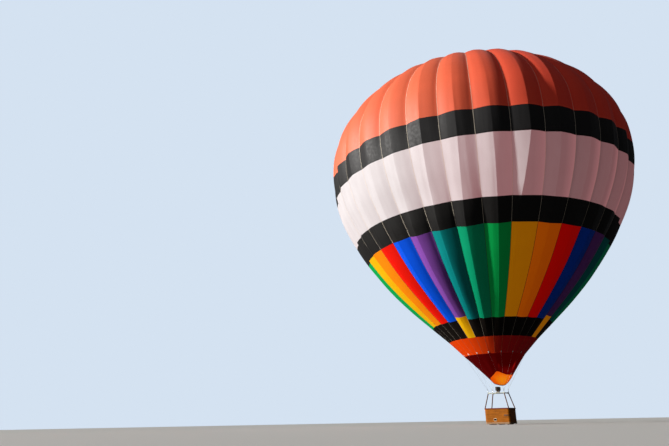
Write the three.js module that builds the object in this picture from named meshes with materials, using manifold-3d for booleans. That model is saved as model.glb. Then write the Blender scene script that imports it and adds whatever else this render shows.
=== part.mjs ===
// Hot air balloon, standing on its basket with the envelope full.
// Millimetres, +Z up. Heights in the constants are measured from the underside of the basket's skids,
// and the whole object is lowered by LIFT_CENTRE_HEIGHT, so that the origin is the middle of the
// envelope's widest circle. The front of the balloon faces -Y.
import * as THREE from 'three';
import { mergeVertices } from 'three/addons/utils/BufferGeometryUtils.js';
import Module from 'manifold-3d';

const wasm = await Module();
wasm.setup();

// Driving sizes of the envelope
const LIFT_CENTRE_HEIGHT = 19400;
const GORES = 32;
const FACETS_PER_GORE = 2;
const SEAM_AZIMUTH = 12.64;          // degrees from the front towards +X, the seam between light green and yellow
const LOBE = 0.015;                  // how far a gore stands out between its seams, as a share of the radius
const FABRIC = 10;
const PANEL_GAP = 0.3;
const SEAT_GAP = 0.3;

// Seam profile from the mouth to the vent: name, height, radius, share of the full lobe
const PROFILE = [
  { name: 'mouth', height: 4680, radius: 2090, lobe: 0 },
  { name: 'mouth band top', height: 5730, radius: 3100, lobe: 0.8 },
  { name: 'rainbow bottom', height: 6840, radius: 4200, lobe: 1 },
  { name: 'rainbow low', height: 8430, radius: 5770, lobe: 1 },
  { name: 'rainbow high', height: 10150, radius: 7300, lobe: 1 },
  { name: 'rainbow top', height: 12000, radius: 8650, lobe: 1 },
  { name: 'white bottom', height: 13430, radius: 9550, lobe: 1 },
  { name: 'white middle', height: 15230, radius: 10450, lobe: 1 },
  { name: 'white top', height: 17060, radius: 11010, lobe: 1 },
  { name: 'crown bottom', height: 18730, radius: 11170, lobe: 1 },
  { name: 'crown low', height: 20600, radius: 11020, lobe: 1 },
  { name: 'crown half', height: 22300, radius: 10400, lobe: 1 },
  { name: 'crown seam', height: 23800, radius: 9380, lobe: 1 },
  { name: 'crown high', height: 25150, radius: 7980, lobe: 1 },
  { name: 'crown shoulder', height: 26200, radius: 6400, lobe: 0.8 },
  { name: 'crown brow', height: 26950, radius: 4800, lobe: 0.5 },
  { name: 'valve lip', height: 27380, radius: 3200, lobe: 0.15 },
  { name: 'vent', height: 27470, radius: 2700, lobe: 0 },
];
// Fabric bands, each one ring from one profile row to another
const BANDS = [
  { node: 'mouth_band', from: 'mouth', to: 'mouth band top', colour: 0xe04a08 },
  { node: 'lower_black_band', from: 'mouth band top', to: 'rainbow bottom', colour: 0x141414 },
  { node: 'lower_rainbow_band', from: 'rainbow bottom', to: 'rainbow high', colour: 0xf0b400 },
  { node: 'upper_rainbow_band', from: 'rainbow high', to: 'rainbow top', colour: 0xf0b400 },
  { node: 'middle_black_band', from: 'rainbow top', to: 'white bottom', colour: 0x141414 },
  { node: 'lower_white_band', from: 'white bottom', to: 'white middle', colour: 0xf2eee8 },
  { node: 'upper_white_band', from: 'white middle', to: 'white top', colour: 0xf2eee8 },
  { node: 'upper_black_band', from: 'white top', to: 'crown bottom', colour: 0x141414 },
  { node: 'lower_crown', from: 'crown bottom', to: 'crown half', colour: 0xe8683c },
  { node: 'middle_crown', from: 'crown half', to: 'crown seam', colour: 0xe8683c },
  { node: 'high_crown', from: 'crown seam', to: 'crown high', colour: 0xe8683c },
  { node: 'upper_crown', from: 'crown high', to: 'crown brow', colour: 0xe8683c },
  { node: 'vent_collar', from: 'crown brow', to: 'vent', colour: 0xe8683c },
];

// Vent at the top: the valve lies under the crown's edge, the tapes pass over it to a small ring
const VALVE_CROWN_RISE = 210;
const VENT_TAPES = 16;
const VENT_TAPE_WIDTH = 50;
const VENT_TAPE_THICKNESS = 5;
const CROWN_RING_RADIUS = 150;
const CROWN_RING_HEIGHT = 24;

// Scoop: a skirt under the mouth, narrowing to a smaller ring set to the back right
const SCOOP_RING_HEIGHT = 2700;
const SCOOP_RING_RADIUS = 480;
const SCOOP_RING_X = 300;
const SCOOP_RING_Y = 120;
const SCOOP_WAIST = 0.15;            // how much sooner it narrows than a straight cone
const SCOOP_FACETS = 48;
const SCOOP_ROWS = 4;
// Its lower edge, high in front where it is open: azimuth from the front in degrees, height
const SCOOP_EDGE = [
  { azimuth: -100, height: 2800 },
  { azimuth: -58, height: 3130 },
  { azimuth: -22, height: 3360 },
  { azimuth: -6, height: 3530 },
  { azimuth: 28, height: 3325 },
  { azimuth: 86, height: 3310 },
  { azimuth: 108, height: 2990 },
  { azimuth: 143, height: 2700 },
  { azimuth: 180, height: 2640 },
  { azimuth: 219, height: 2700 },
];

// Basket, turned on the vertical axis under the envelope
const BASKET_TURN = -20;             // degrees
const BASKET_LENGTH = 1800;
const BASKET_WIDTH = 1400;
const BASKET_CORNER = 160;
const WALL = 36;
const WALL_TOP = 1010;
const SKID_HEIGHT = 45;
const SKID_WIDTH = 70;
const SKID_LENGTH = 1300;
const SKID_SPACING = 620;
const FLOOR_THICKNESS = 20;
const RIM_RADIUS = 45;
const RIM_FLAT = 0.8;                // the roll is flat below this share of its radius, where it lies on the wall
const STEP_HOLE = { x: -167, height: 320, width: 190, tall: 110 };

// Uprights and load frame
const FRAME_LENGTH = 1200;
const FRAME_WIDTH = 950;
const FRAME_TUBE = 40;
const FRAME_HEIGHT = 2100;           // middle of the tubes
const UPRIGHT_RADIUS = 38;           // a pole in a padded cover
const LUG = { width: 50, thickness: 16, height: 60 };

// Flying wires, four to a corner, from every second seam at the mouth
const WIRE_RADIUS = 4;
const WIRE_HEAD_HEIGHT = 4740;
const WIRE_SEAT = 0.5;
const WIRE_EYE_RADIUS = 22;
const KARABINER = { width: 64, height: 118, bar: 12 };

// Burner on two crossed pivots
const RING_LENGTH = 560;
const RING_WIDTH = 760;
const RING_BAR = 30;
const PIVOT_RADIUS = 8;
const PIVOT_CLEARANCE = 0.6;
const PIVOT_DEPTH = 22;
const MOVING_GAP = 6;
const BURNER_SPACING = 300;
const CAN_RADIUS = 128;
const CAN_WALL = 6;
const CAN_BOTTOM = 2262;
const CAN_TOP = 2530;
const CAN_LIP = { height: 12, out: 3 };
const VALVE_COLUMN_RADIUS = 58;
const BLAST_VALVE = { length: 60, width: 44, rise: 52 };
const LEVER = { length: 115, width: 18, thickness: 5, rise: 100, aside: 20, pin: 6 };

// Fuel cylinders in the basket's corners
const CYLINDER_RADIUS = 150;
const CYLINDER_HEIGHT = 820;
const CYLINDER_X = 640;
const CYLINDER_Y = 440;
const COLLAR = { radius: 95, wall: 5, height: 55 };
const TAP = { neck: 20, wheel: 32, height: 50 };

const rad = THREE.MathUtils.degToRad;
const balloon = new THREE.Group();
balloon.position.z = -LIFT_CENTRE_HEIGHT;
const envelope = new THREE.Group();
const carriage = new THREE.Group();
carriage.rotation.z = rad(BASKET_TURN);
balloon.add(envelope, carriage);

function material(colour, roughness, metalness = 0) {
  return new THREE.MeshStandardMaterial({ color: colour, roughness, metalness });
}

function place(parent, name, geometry, finish) {
  const mesh = new THREE.Mesh(geometry, finish);
  mesh.name = name;
  parent.add(mesh);
  return mesh;
}

const FABRIC_FINISH = (colour) => material(colour, 0.75);
const WICKER = material(0xb06a28, 0.85);
const LEATHER = material(0x7a3a24, 0.7);
const RED_LEATHER = material(0xa83a30, 0.65);
const TIMBER = material(0x8a6238, 0.8);
const FRAME_METAL = material(0xb4b8aa, 0.4, 0.9);
const STEEL = material(0x9a9c9e, 0.35, 1);
const BURNT_STEEL = material(0x2c2a2a, 0.5, 0.9);
const ALUMINIUM = material(0xc4c6c8, 0.4, 1);

// A geometry from a list of points and a list of triangles
function meshOf(points, triangles) {
  const geometry = new THREE.BufferGeometry();
  geometry.setAttribute('position', new THREE.Float32BufferAttribute(points.flat(), 3));
  geometry.setIndex(triangles.flat());
  return geometry;
}

// A closed geometry as a solid that can be joined and cut, and back
function solid(geometry) {
  let bare = geometry.clone();
  bare.deleteAttribute('normal');
  bare.deleteAttribute('uv');
  bare = mergeVertices(bare, 1e-3);
  const vertProperties = new Float32Array(bare.attributes.position.array);
  const triVerts = new Uint32Array(bare.index.array);
  return new wasm.Manifold(new wasm.Mesh({ numProp: 3, vertProperties, triVerts }));
}

function geometryOf(body) {
  const mesh = body.getMesh();
  const geometry = new THREE.BufferGeometry();
  geometry.setAttribute('position', new THREE.BufferAttribute(new Float32Array(mesh.vertProperties), 3));
  geometry.setIndex(new THREE.BufferAttribute(new Uint32Array(mesh.triVerts), 1));
  return geometry;
}

function join(...geometries) {
  return geometryOf(geometries.map(solid).reduce((body, next) => body.add(next)));
}

function cut(geometry, ...tools) {
  return geometryOf(tools.map(solid).reduce((body, tool) => body.subtract(tool), solid(geometry)));
}

function box(x, y, z, at = [0, 0, 0]) {
  return new THREE.BoxGeometry(x, y, z).translate(...at);
}

// A straight round bar between two points
function rod(from, to, radius, sides = 12) {
  const start = new THREE.Vector3(...from);
  const end = new THREE.Vector3(...to);
  const along = end.clone().sub(start);
  const geometry = new THREE.CylinderGeometry(radius, radius, along.length(), sides);
  const turn = new THREE.Quaternion().setFromUnitVectors(new THREE.Vector3(0, 1, 0), along.clone().normalize());
  return geometry.applyQuaternion(turn).translate(...start.add(end).multiplyScalar(0.5).toArray());
}

// A leaning round bar whose two end faces are level
function leaningBar(from, to, radius, sides) {
  const geometry = new THREE.CylinderGeometry(radius, radius, to[2] - from[2], sides).rotateX(Math.PI / 2);
  const shear = new THREE.Matrix4().makeShear(0, 0, 0, 0, (to[0] - from[0]) / (to[2] - from[2]),
    (to[1] - from[1]) / (to[2] - from[2]));
  return geometry.applyMatrix4(shear)
    .translate((from[0] + to[0]) / 2, (from[1] + to[1]) / 2, (from[2] + to[2]) / 2);
}

function roundedRectangle(length, width, corner) {
  const x = length / 2;
  const y = width / 2;
  const shape = new THREE.Shape();
  shape.moveTo(x - corner, -y);
  shape.absarc(x - corner, -y + corner, corner, -Math.PI / 2, 0);
  shape.absarc(x - corner, y - corner, corner, 0, Math.PI / 2);
  shape.absarc(-x + corner, y - corner, corner, Math.PI / 2, Math.PI);
  shape.absarc(-x + corner, -y + corner, corner, Math.PI, Math.PI * 1.5);
  return shape;
}

// A flat outline raised from one height to another, with an optional hole
function raise(shape, bottom, top, hole = null, curveSegments = 4) {
  const outline = shape.clone();
  if (hole) outline.holes.push(hole);
  return new THREE.ExtrudeGeometry(outline, { depth: top - bottom, bevelEnabled: false, curveSegments })
    .translate(0, 0, bottom);
}

// The profile as one smooth curve, with the row's own place, outward normal and lobe at each row
const profileCurve = new THREE.SplineCurve(PROFILE.map((row) => new THREE.Vector2(row.radius, row.height)));
const profileIndex = (name) => PROFILE.findIndex((row) => row.name === name);

function profileRow(index, shift = 0) {
  const t = index / (PROFILE.length - 1);
  const point = profileCurve.getPoint(t);
  const tangent = profileCurve.getTangent(t);
  return {
    radius: point.x + tangent.x * shift,
    height: point.y + tangent.y * shift,
    normal: [tangent.y, -tangent.x],
    lobe: PROFILE[index].lobe * LOBE,
  };
}

// One skin of a ring of fabric: the rows' points moved outwards by an offset
function skinPoint(row, step, offset) {
  const azimuth = rad(SEAM_AZIMUTH) + (step / (GORES * FACETS_PER_GORE)) * 2 * Math.PI;
  const between = (step % FACETS_PER_GORE) / FACETS_PER_GORE;
  const stand = 1 + row.lobe * 4 * between * (1 - between);
  const radius = row.radius * stand + row.normal[0] * offset;
  return [radius * Math.sin(azimuth), -radius * Math.cos(azimuth), row.height + row.normal[1] * offset];
}

// A closed ring of fabric through the rows, from the outer offset to the inner one
function fabricRing(rows, outer, inner) {
  const around = GORES * FACETS_PER_GORE;
  const points = [];
  for (const offset of [outer, inner]) {
    for (const row of rows) {
      for (let step = 0; step < around; step += 1) points.push(skinPoint(row, step, offset));
    }
  }
  return meshOf(points, ringTriangles(rows.length, around));
}

// Triangles of a ring with two skins, each of the given rows, the outer skin's points first
function ringTriangles(rows, around) {
  const index = (skin, row, step) => (skin * rows + row) * around + (step % around);
  const triangles = [];
  const quad = (a, b, c, d) => triangles.push([a, b, c], [a, c, d]);
  for (let step = 0; step < around; step += 1) {
    const next = step + 1;
    for (let row = 0; row < rows - 1; row += 1) {
      quad(index(0, row, step), index(0, row, next), index(0, row + 1, next), index(0, row + 1, step));
      quad(index(1, row, step), index(1, row + 1, step), index(1, row + 1, next), index(1, row, next));
    }
    const last = rows - 1;
    quad(index(0, 0, next), index(0, 0, step), index(1, 0, step), index(1, 0, next));
    quad(index(0, last, step), index(0, last, next), index(1, last, next), index(1, last, step));
  }
  return triangles;
}

function makeBands() {
  for (const band of BANDS) {
    const first = profileIndex(band.from);
    const last = profileIndex(band.to);
    const rows = [];
    for (let index = first; index <= last; index += 1) {
      const shift = index === first ? PANEL_GAP / 2 : index === last ? -PANEL_GAP / 2 : 0;
      rows.push(profileRow(index, shift));
    }
    place(envelope, band.node, fabricRing(rows, 0, -FABRIC), FABRIC_FINISH(band.colour));
  }
}

// Rows over the vent: the fabric's lip, the vent's edge, and a shallow cone to the middle
function ventRows() {
  const lip = profileRow(profileIndex('valve lip'));
  const edge = profileRow(profileIndex('vent'));
  const slope = Math.atan2(VALVE_CROWN_RISE, edge.radius);
  const normal = [Math.sin(slope), Math.cos(slope)];
  return { lip, edge, normal, top: edge.height + VALVE_CROWN_RISE };
}

// The parachute valve: a round cloth that closes the vent from inside
function makeValve() {
  const { lip, edge, normal, top } = ventRows();
  const outer = -FABRIC - SEAT_GAP;
  const inner = outer - FABRIC;
  const around = GORES * FACETS_PER_GORE;
  const rows = [lip, edge, { radius: edge.radius * 0.5, height: (edge.height + top) / 2, normal, lobe: 0 }];
  const points = [];
  for (const offset of [outer, inner]) {
    for (const row of rows) {
      for (let step = 0; step < around; step += 1) points.push(skinPoint(row, step, offset));
    }
  }
  points.push([0, 0, top + outer], [0, 0, top + inner]);
  const skinTriangles = (rows.length - 1) * 4;
  const triangles = ringTriangles(rows.length, around)
    .filter((_, i) => i % (skinTriangles + 4) < skinTriangles + 2);
  const poles = [points.length - 2, points.length - 1];
  for (let step = 0; step < around; step += 1) {
    const next = (step + 1) % around;
    const rim = (rows.length - 1) * around;
    const innerRim = (rows.length * 2 - 1) * around;
    triangles.push([rim + step, rim + next, poles[0]], [innerRim + next, innerRim + step, poles[1]]);
  }
  place(envelope, 'parachute_valve', meshOf(points, triangles), FABRIC_FINISH(0xe8683c));
}

// Tapes over the vent, joined at the crown ring in the middle
function makeVentTapes() {
  const { edge, normal, top } = ventRows();
  const brow = profileRow(profileIndex('valve lip'));
  const path = [
    { radius: brow.radius, height: brow.height, normal: brow.normal },
    { radius: edge.radius, height: edge.height, normal: edge.normal },
    { radius: 60, height: top - 60 * normal[0], normal },
  ];
  const parts = [];
  for (let tape = 0; tape < VENT_TAPES; tape += 1) {
    const azimuth = rad(SEAM_AZIMUTH) + (tape / VENT_TAPES) * 2 * Math.PI;
    const out = [Math.sin(azimuth), -Math.cos(azimuth)];
    const side = [-out[1], out[0]];
    const points = [];
    for (const row of path) {
      for (const offset of [SEAT_GAP, SEAT_GAP + VENT_TAPE_THICKNESS]) {
        for (const hand of [-1, 1]) {
          const radius = row.radius + row.normal[0] * offset;
          const wide = (hand * VENT_TAPE_WIDTH) / 2;
          points.push([radius * out[0] + wide * side[0], radius * out[1] + wide * side[1],
            row.height + row.normal[1] * offset]);
        }
      }
    }
    const triangles = [[0, 1, 3], [0, 3, 2]];
    for (let row = 0; row < path.length - 1; row += 1) {
      const a = row * 4;
      const b = a + 4;
      for (const [p, q] of [[0, 1], [1, 3], [3, 2], [2, 0]]) {
        triangles.push([a + p, b + q, a + q], [a + p, b + p, b + q]);
      }
    }
    const end = (path.length - 1) * 4;
    triangles.push([end, end + 3, end + 1], [end, end + 2, end + 3]);
    parts.push(meshOf(points, triangles));
  }
  const ring = new THREE.CylinderGeometry(CROWN_RING_RADIUS, CROWN_RING_RADIUS, CROWN_RING_HEIGHT, 24)
    .rotateX(Math.PI / 2)
    .translate(0, 0, top + SEAT_GAP + CROWN_RING_HEIGHT / 2);
  place(envelope, 'vent_tapes', join(ring, ...parts), material(0xcfc6b4, 0.7));
}

// Height of the scoop's lower edge at an azimuth, as one smooth closed curve
function scoopEdgeHeight(azimuth) {
  const count = SCOOP_EDGE.length;
  const start = SCOOP_EDGE[0].azimuth;
  const turned = ((((azimuth - start) % 360) + 360) % 360) + start;
  const row = (i) => {
    const turns = Math.floor(i / count);
    const entry = SCOOP_EDGE[i - turns * count];
    return { azimuth: entry.azimuth + turns * 360, height: entry.height };
  };
  let i = 0;
  while (row(i + 1).azimuth <= turned) i += 1;
  const [before, from, to, after] = [row(i - 1), row(i), row(i + 1), row(i + 2)];
  const span = to.azimuth - from.azimuth;
  const t = (turned - from.azimuth) / span;
  const leave = ((to.height - before.height) / (to.azimuth - before.azimuth)) * span;
  const arrive = ((after.height - from.height) / (after.azimuth - from.azimuth)) * span;
  const t2 = t * t;
  const t3 = t2 * t;
  return (2 * t3 - 3 * t2 + 1) * from.height + (t3 - 2 * t2 + t) * leave
    + (3 * t2 - 2 * t3) * to.height + (t3 - t2) * arrive;
}

function makeScoop() {
  const mouth = profileRow(0, -PANEL_GAP / 2);
  const drop = mouth.height - SCOOP_RING_HEIGHT;
  const points = [];
  for (const offset of [0, -FABRIC]) {
    for (let row = SCOOP_ROWS; row >= 0; row -= 1) {
      for (let step = 0; step < SCOOP_FACETS; step += 1) {
        const azimuth = (step / SCOOP_FACETS) * 360;
        const height = mouth.height + ((scoopEdgeHeight(azimuth) - mouth.height) * row) / SCOOP_ROWS;
        const share = (mouth.height - height) / drop;
        const narrowing = share + SCOOP_WAIST * share * (1 - share);
        const radius = mouth.radius + (SCOOP_RING_RADIUS - mouth.radius) * narrowing + offset;
        points.push([
          SCOOP_RING_X * share + radius * Math.sin(rad(azimuth)),
          SCOOP_RING_Y * share - radius * Math.cos(rad(azimuth)),
          height,
        ]);
      }
    }
  }
  place(envelope, 'scoop', meshOf(points, ringTriangles(SCOOP_ROWS + 1, SCOOP_FACETS)), FABRIC_FINISH(0x7a0a08));
}

// The carriage's corners: front and back, left and right, as signs along its length and width
const CORNERS = [
  { name: 'front_left', x: -1, y: -1 },
  { name: 'front_right', x: 1, y: -1 },
  { name: 'back_right', x: 1, y: 1 },
  { name: 'back_left', x: -1, y: 1 },
];
const frameCornerX = (FRAME_LENGTH - FRAME_TUBE) / 2;
const frameCornerY = (FRAME_WIDTH - FRAME_TUBE) / 2;
const lugTop = FRAME_HEIGHT + FRAME_TUBE / 2 + LUG.height;
const wireFootHeight = lugTop + 2 * SEAT_GAP + KARABINER.height + WIRE_EYE_RADIUS;
// The rim roll's middle and its flat top, and the middle of the wall at a corner
const rimMiddle = WALL_TOP + SEAT_GAP + RIM_RADIUS * RIM_FLAT;
const rimTop = rimMiddle + RIM_RADIUS * Math.sin(rad(72));
const cornerReach = (BASKET_CORNER - WALL / 2) * Math.SQRT1_2 - BASKET_CORNER;

function makeBasket() {
  const skidTop = SKID_HEIGHT;
  for (const [name, at] of [['skid_left', -1], ['skid_middle', 0], ['skid_right', 1]]) {
    const bar = box(SKID_WIDTH, SKID_LENGTH, SKID_HEIGHT, [at * SKID_SPACING, 0, SKID_HEIGHT / 2]);
    place(carriage, name, bar, TIMBER);
  }
  const outline = roundedRectangle(BASKET_LENGTH, BASKET_WIDTH, BASKET_CORNER);
  const floorBottom = skidTop + SEAT_GAP;
  const floorTop = floorBottom + FLOOR_THICKNESS;
  place(carriage, 'basket_floor', raise(outline, floorBottom, floorTop), TIMBER);
  const inside = roundedRectangle(BASKET_LENGTH - 2 * WALL, BASKET_WIDTH - 2 * WALL, BASKET_CORNER - WALL);
  const wall = raise(outline, floorTop + SEAT_GAP, WALL_TOP, inside);
  const holes = [-1, 1].map((side) => box(STEP_HOLE.width, WALL * 4, STEP_HOLE.tall,
    [-side * STEP_HOLE.x, (side * (BASKET_WIDTH - WALL)) / 2, STEP_HOLE.height]));
  place(carriage, 'basket_wall', cut(wall, ...holes), WICKER);
}

// The padded leather rim: a round roll laid along the top of the wall
function makeRim() {
  const corner = BASKET_CORNER - WALL / 2;
  const middle = roundedRectangle(BASKET_LENGTH - WALL, BASKET_WIDTH - WALL, corner);
  const section = 10;
  const outlinePoints = middle.extractPoints(4).shape;
  const count = outlinePoints.length;
  const points = [];
  for (let i = 0; i < count; i += 1) {
    const here = outlinePoints[i];
    const before = outlinePoints[(i + count - 1) % count];
    const after = outlinePoints[(i + 1) % count];
    const along = new THREE.Vector2().subVectors(after, before).normalize();
    for (let j = 0; j < section; j += 1) {
      const angle = (j / section) * 2 * Math.PI;
      const out = Math.cos(angle) * RIM_RADIUS;
      const up = Math.max(Math.sin(angle) * RIM_RADIUS, -RIM_RADIUS * RIM_FLAT);
      points.push([here.x + along.y * out, here.y - along.x * out, rimMiddle + up]);
    }
  }
  const triangles = [];
  for (let i = 0; i < count; i += 1) {
    const next = ((i + 1) % count) * section;
    for (let j = 0; j < section; j += 1) {
      const k = (j + 1) % section;
      const here = i * section;
      triangles.push([here + j, next + j, next + k], [here + j, next + k, here + k]);
    }
  }
  place(carriage, 'rim_padding', meshOf(points, triangles), RED_LEATHER);
}

function makeUprights() {
  const footX = BASKET_LENGTH / 2 + cornerReach;
  const footY = BASKET_WIDTH / 2 + cornerReach;
  const foot = rimTop + SEAT_GAP;
  const head = FRAME_HEIGHT - FRAME_TUBE / 2 - SEAT_GAP;
  for (const corner of CORNERS) {
    const bar = leaningBar([corner.x * footX, corner.y * footY, foot],
      [corner.x * frameCornerX, corner.y * frameCornerY, head], UPRIGHT_RADIUS, 12);
    place(carriage, `upright_${corner.name}`, bar, LEATHER);
  }
}

function makeLoadFrame() {
  const bars = [];
  for (const side of [-1, 1]) {
    bars.push(box(FRAME_LENGTH, FRAME_TUBE, FRAME_TUBE, [0, side * frameCornerY, FRAME_HEIGHT]));
    bars.push(box(FRAME_TUBE, FRAME_WIDTH, FRAME_TUBE, [side * frameCornerX, 0, FRAME_HEIGHT]));
    const armStart = FRAME_LENGTH / 2 - FRAME_TUBE;
    const armEnd = RING_LENGTH / 2 + MOVING_GAP;
    bars.push(box(armStart - armEnd, FRAME_TUBE, FRAME_TUBE, [(side * (armStart + armEnd)) / 2, 0, FRAME_HEIGHT]));
  }
  for (const corner of CORNERS) {
    bars.push(box(LUG.width, LUG.thickness, LUG.height + FRAME_TUBE / 2,
      [corner.x * frameCornerX, corner.y * frameCornerY, FRAME_HEIGHT + FRAME_TUBE / 4 + LUG.height / 2]));
  }
  const reach = RING_LENGTH / 2 + MOVING_GAP;
  const bores = [-1, 1].map((side) => rod([side * (reach - 1), 0, FRAME_HEIGHT],
    [side * (reach + PIVOT_DEPTH + 2), 0, FRAME_HEIGHT], PIVOT_RADIUS + PIVOT_CLEARANCE, 16));
  place(carriage, 'load_frame', cut(join(...bars), ...bores), FRAME_METAL);
}

// The ring of the gimbal turns on pins along the carriage's length, and the burner turns in it
function makeGimbal() {
  const outer = roundedRectangle(RING_LENGTH, RING_WIDTH, RING_BAR);
  const inner = roundedRectangle(RING_LENGTH - 2 * RING_BAR, RING_WIDTH - 2 * RING_BAR, RING_BAR / 2);
  const ring = raise(outer, FRAME_HEIGHT - RING_BAR / 2, FRAME_HEIGHT + RING_BAR / 2, inner, 3);
  const pins = [-1, 1].map((side) => rod([side * (RING_LENGTH / 2 - 4), 0, FRAME_HEIGHT],
    [side * (RING_LENGTH / 2 + MOVING_GAP + PIVOT_DEPTH), 0, FRAME_HEIGHT], PIVOT_RADIUS, 16));
  const reach = RING_WIDTH / 2 - RING_BAR;
  const bores = [-1, 1].map((side) => rod([0, side * (reach - 2), FRAME_HEIGHT],
    [0, side * (reach + PIVOT_DEPTH + 2), FRAME_HEIGHT], PIVOT_RADIUS + PIVOT_CLEARANCE, 16));
  place(carriage, 'gimbal_ring', cut(join(ring, ...pins), ...bores), STEEL);
}

function makeBurner() {
  const reach = RING_WIDTH / 2 - RING_BAR;
  const end = reach - MOVING_GAP;
  const parts = [box(70, end * 2, 50, [0, 0, FRAME_HEIGHT])];
  for (const side of [-1, 1]) {
    parts.push(rod([0, side * (end - 4), FRAME_HEIGHT], [0, side * (reach + PIVOT_DEPTH), FRAME_HEIGHT],
      PIVOT_RADIUS, 16));
    const y = (side * BURNER_SPACING) / 2;
    parts.push(rod([0, y, FRAME_HEIGHT], [0, y, CAN_BOTTOM - SEAT_GAP], VALVE_COLUMN_RADIUS, 16));
    // The blast valve with its lever
    const valveX = 3 - VALVE_COLUMN_RADIUS - BLAST_VALVE.length / 2;
    const leverX = valveX - BLAST_VALVE.length / 2;
    const pinY = y - side * LEVER.aside;
    parts.push(box(BLAST_VALVE.length, BLAST_VALVE.width, BLAST_VALVE.width,
      [valveX, y, FRAME_HEIGHT + BLAST_VALVE.rise]));
    parts.push(rod([valveX, pinY, FRAME_HEIGHT + BLAST_VALVE.rise], [valveX, pinY, FRAME_HEIGHT + LEVER.rise],
      LEVER.pin, 8));
    parts.push(box(LEVER.length, LEVER.width, LEVER.thickness, [leverX, pinY, FRAME_HEIGHT + LEVER.rise]));
  }
  place(carriage, 'burner_block', join(...parts), BURNT_STEEL);
  for (const [name, side] of [['burner_can_front', -1], ['burner_can_back', 1]]) {
    const inside = CAN_RADIUS - CAN_WALL;
    const profile = [
      [0, CAN_BOTTOM], [CAN_RADIUS - 30, CAN_BOTTOM], [CAN_RADIUS, CAN_BOTTOM + 40],
      [CAN_RADIUS, CAN_TOP - CAN_LIP.height], [CAN_RADIUS + CAN_LIP.out, CAN_TOP - CAN_LIP.height / 2],
      [CAN_RADIUS + CAN_LIP.out, CAN_TOP], [inside, CAN_TOP], [inside, CAN_BOTTOM + 42],
      [CAN_RADIUS - 32, CAN_BOTTOM + 8], [0, CAN_BOTTOM + 8],
    ].map(([r, z]) => new THREE.Vector2(r, z));
    const can = new THREE.LatheGeometry(profile, 24).rotateX(Math.PI / 2)
      .translate(0, (side * BURNER_SPACING) / 2, 0);
    place(carriage, name, can, BURNT_STEEL);
  }
}

function makeCylinders() {
  const bottom = SKID_HEIGHT + FLOOR_THICKNESS + 2 * SEAT_GAP;
  const top = bottom + CYLINDER_HEIGHT;
  const profile = [
    [0, bottom], [CYLINDER_RADIUS * 0.8, bottom], [CYLINDER_RADIUS, bottom + 60], [CYLINDER_RADIUS, top - 70],
    [CYLINDER_RADIUS * 0.8, top - 16], [COLLAR.radius, top - 8], [COLLAR.radius, top + COLLAR.height],
    [COLLAR.radius - COLLAR.wall, top + COLLAR.height], [COLLAR.radius - COLLAR.wall, top - 6], [TAP.neck, top],
    [TAP.neck, top + TAP.height / 2], [TAP.wheel, top + TAP.height * 0.7], [TAP.wheel, top + TAP.height],
    [0, top + TAP.height],
  ].map(([r, z]) => new THREE.Vector2(r, z));
  for (const corner of CORNERS) {
    const body = new THREE.LatheGeometry(profile, 20).rotateX(Math.PI / 2)
      .translate(corner.x * CYLINDER_X, corner.y * CYLINDER_Y, 0);
    place(carriage, `fuel_cylinder_${corner.name}`, body, ALUMINIUM);
  }
}

// Four wires run from one corner of the load frame to the four nearest tape ends at the mouth
function makeWires() {
  const turn = rad(BASKET_TURN);
  const mouth = profileRow(0);
  const next = profileRow(1);
  const share = (WIRE_HEAD_HEIGHT - mouth.height) / (next.height - mouth.height);
  const headRadius = mouth.radius + (next.radius - mouth.radius) * share;
  const wires = GORES / 2;
  const seams = Array.from({ length: wires }, (_, i) => (SEAM_AZIMUTH + (i * 360) / wires) % 360);
  for (const [index, corner] of CORNERS.entries()) {
    const x = corner.x * frameCornerX;
    const y = corner.y * frameCornerY;
    const foot = [x * Math.cos(turn) - y * Math.sin(turn), x * Math.sin(turn) + y * Math.cos(turn), wireFootHeight];
    const first = [-110, -20, 70, 160][index];
    const mine = seams.filter((azimuth) => ((azimuth - first) % 360 + 360) % 360 < 90);
    const parts = [new THREE.IcosahedronGeometry(WIRE_EYE_RADIUS, 1).translate(...foot)];
    for (const azimuth of mine) {
      const away = headRadius + (WIRE_RADIUS + WIRE_SEAT) * mouth.normal[0];
      const head = [away * Math.sin(rad(azimuth)), -away * Math.cos(rad(azimuth)),
        WIRE_HEAD_HEIGHT + (WIRE_RADIUS + WIRE_SEAT) * mouth.normal[1]];
      parts.push(rod(foot, head, WIRE_RADIUS, 6));
    }
    place(envelope, `flying_wires_${corner.name}`, join(...parts), STEEL);
    const link = roundedRectangle(KARABINER.width, KARABINER.height, KARABINER.width / 2 - 1);
    const gap = roundedRectangle(KARABINER.width - 2 * KARABINER.bar, KARABINER.height - 2 * KARABINER.bar,
      KARABINER.width / 2 - KARABINER.bar - 1);
    const ring = raise(link, -KARABINER.bar / 2, KARABINER.bar / 2, gap, 4).rotateX(Math.PI / 2)
      .translate(x, y, lugTop + SEAT_GAP + KARABINER.height / 2);
    place(carriage, `karabiner_${corner.name}`, ring, STEEL);
  }
}

makeBands();
makeValve();
makeVentTapes();
makeScoop();
makeWires();
makeBasket();
makeRim();
makeUprights();
makeLoadFrame();
makeGimbal();
makeBurner();
makeCylinders();

export default balloon;
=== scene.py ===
import math

import bpy
import numpy as np
from mathutils import Matrix, Vector


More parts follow.
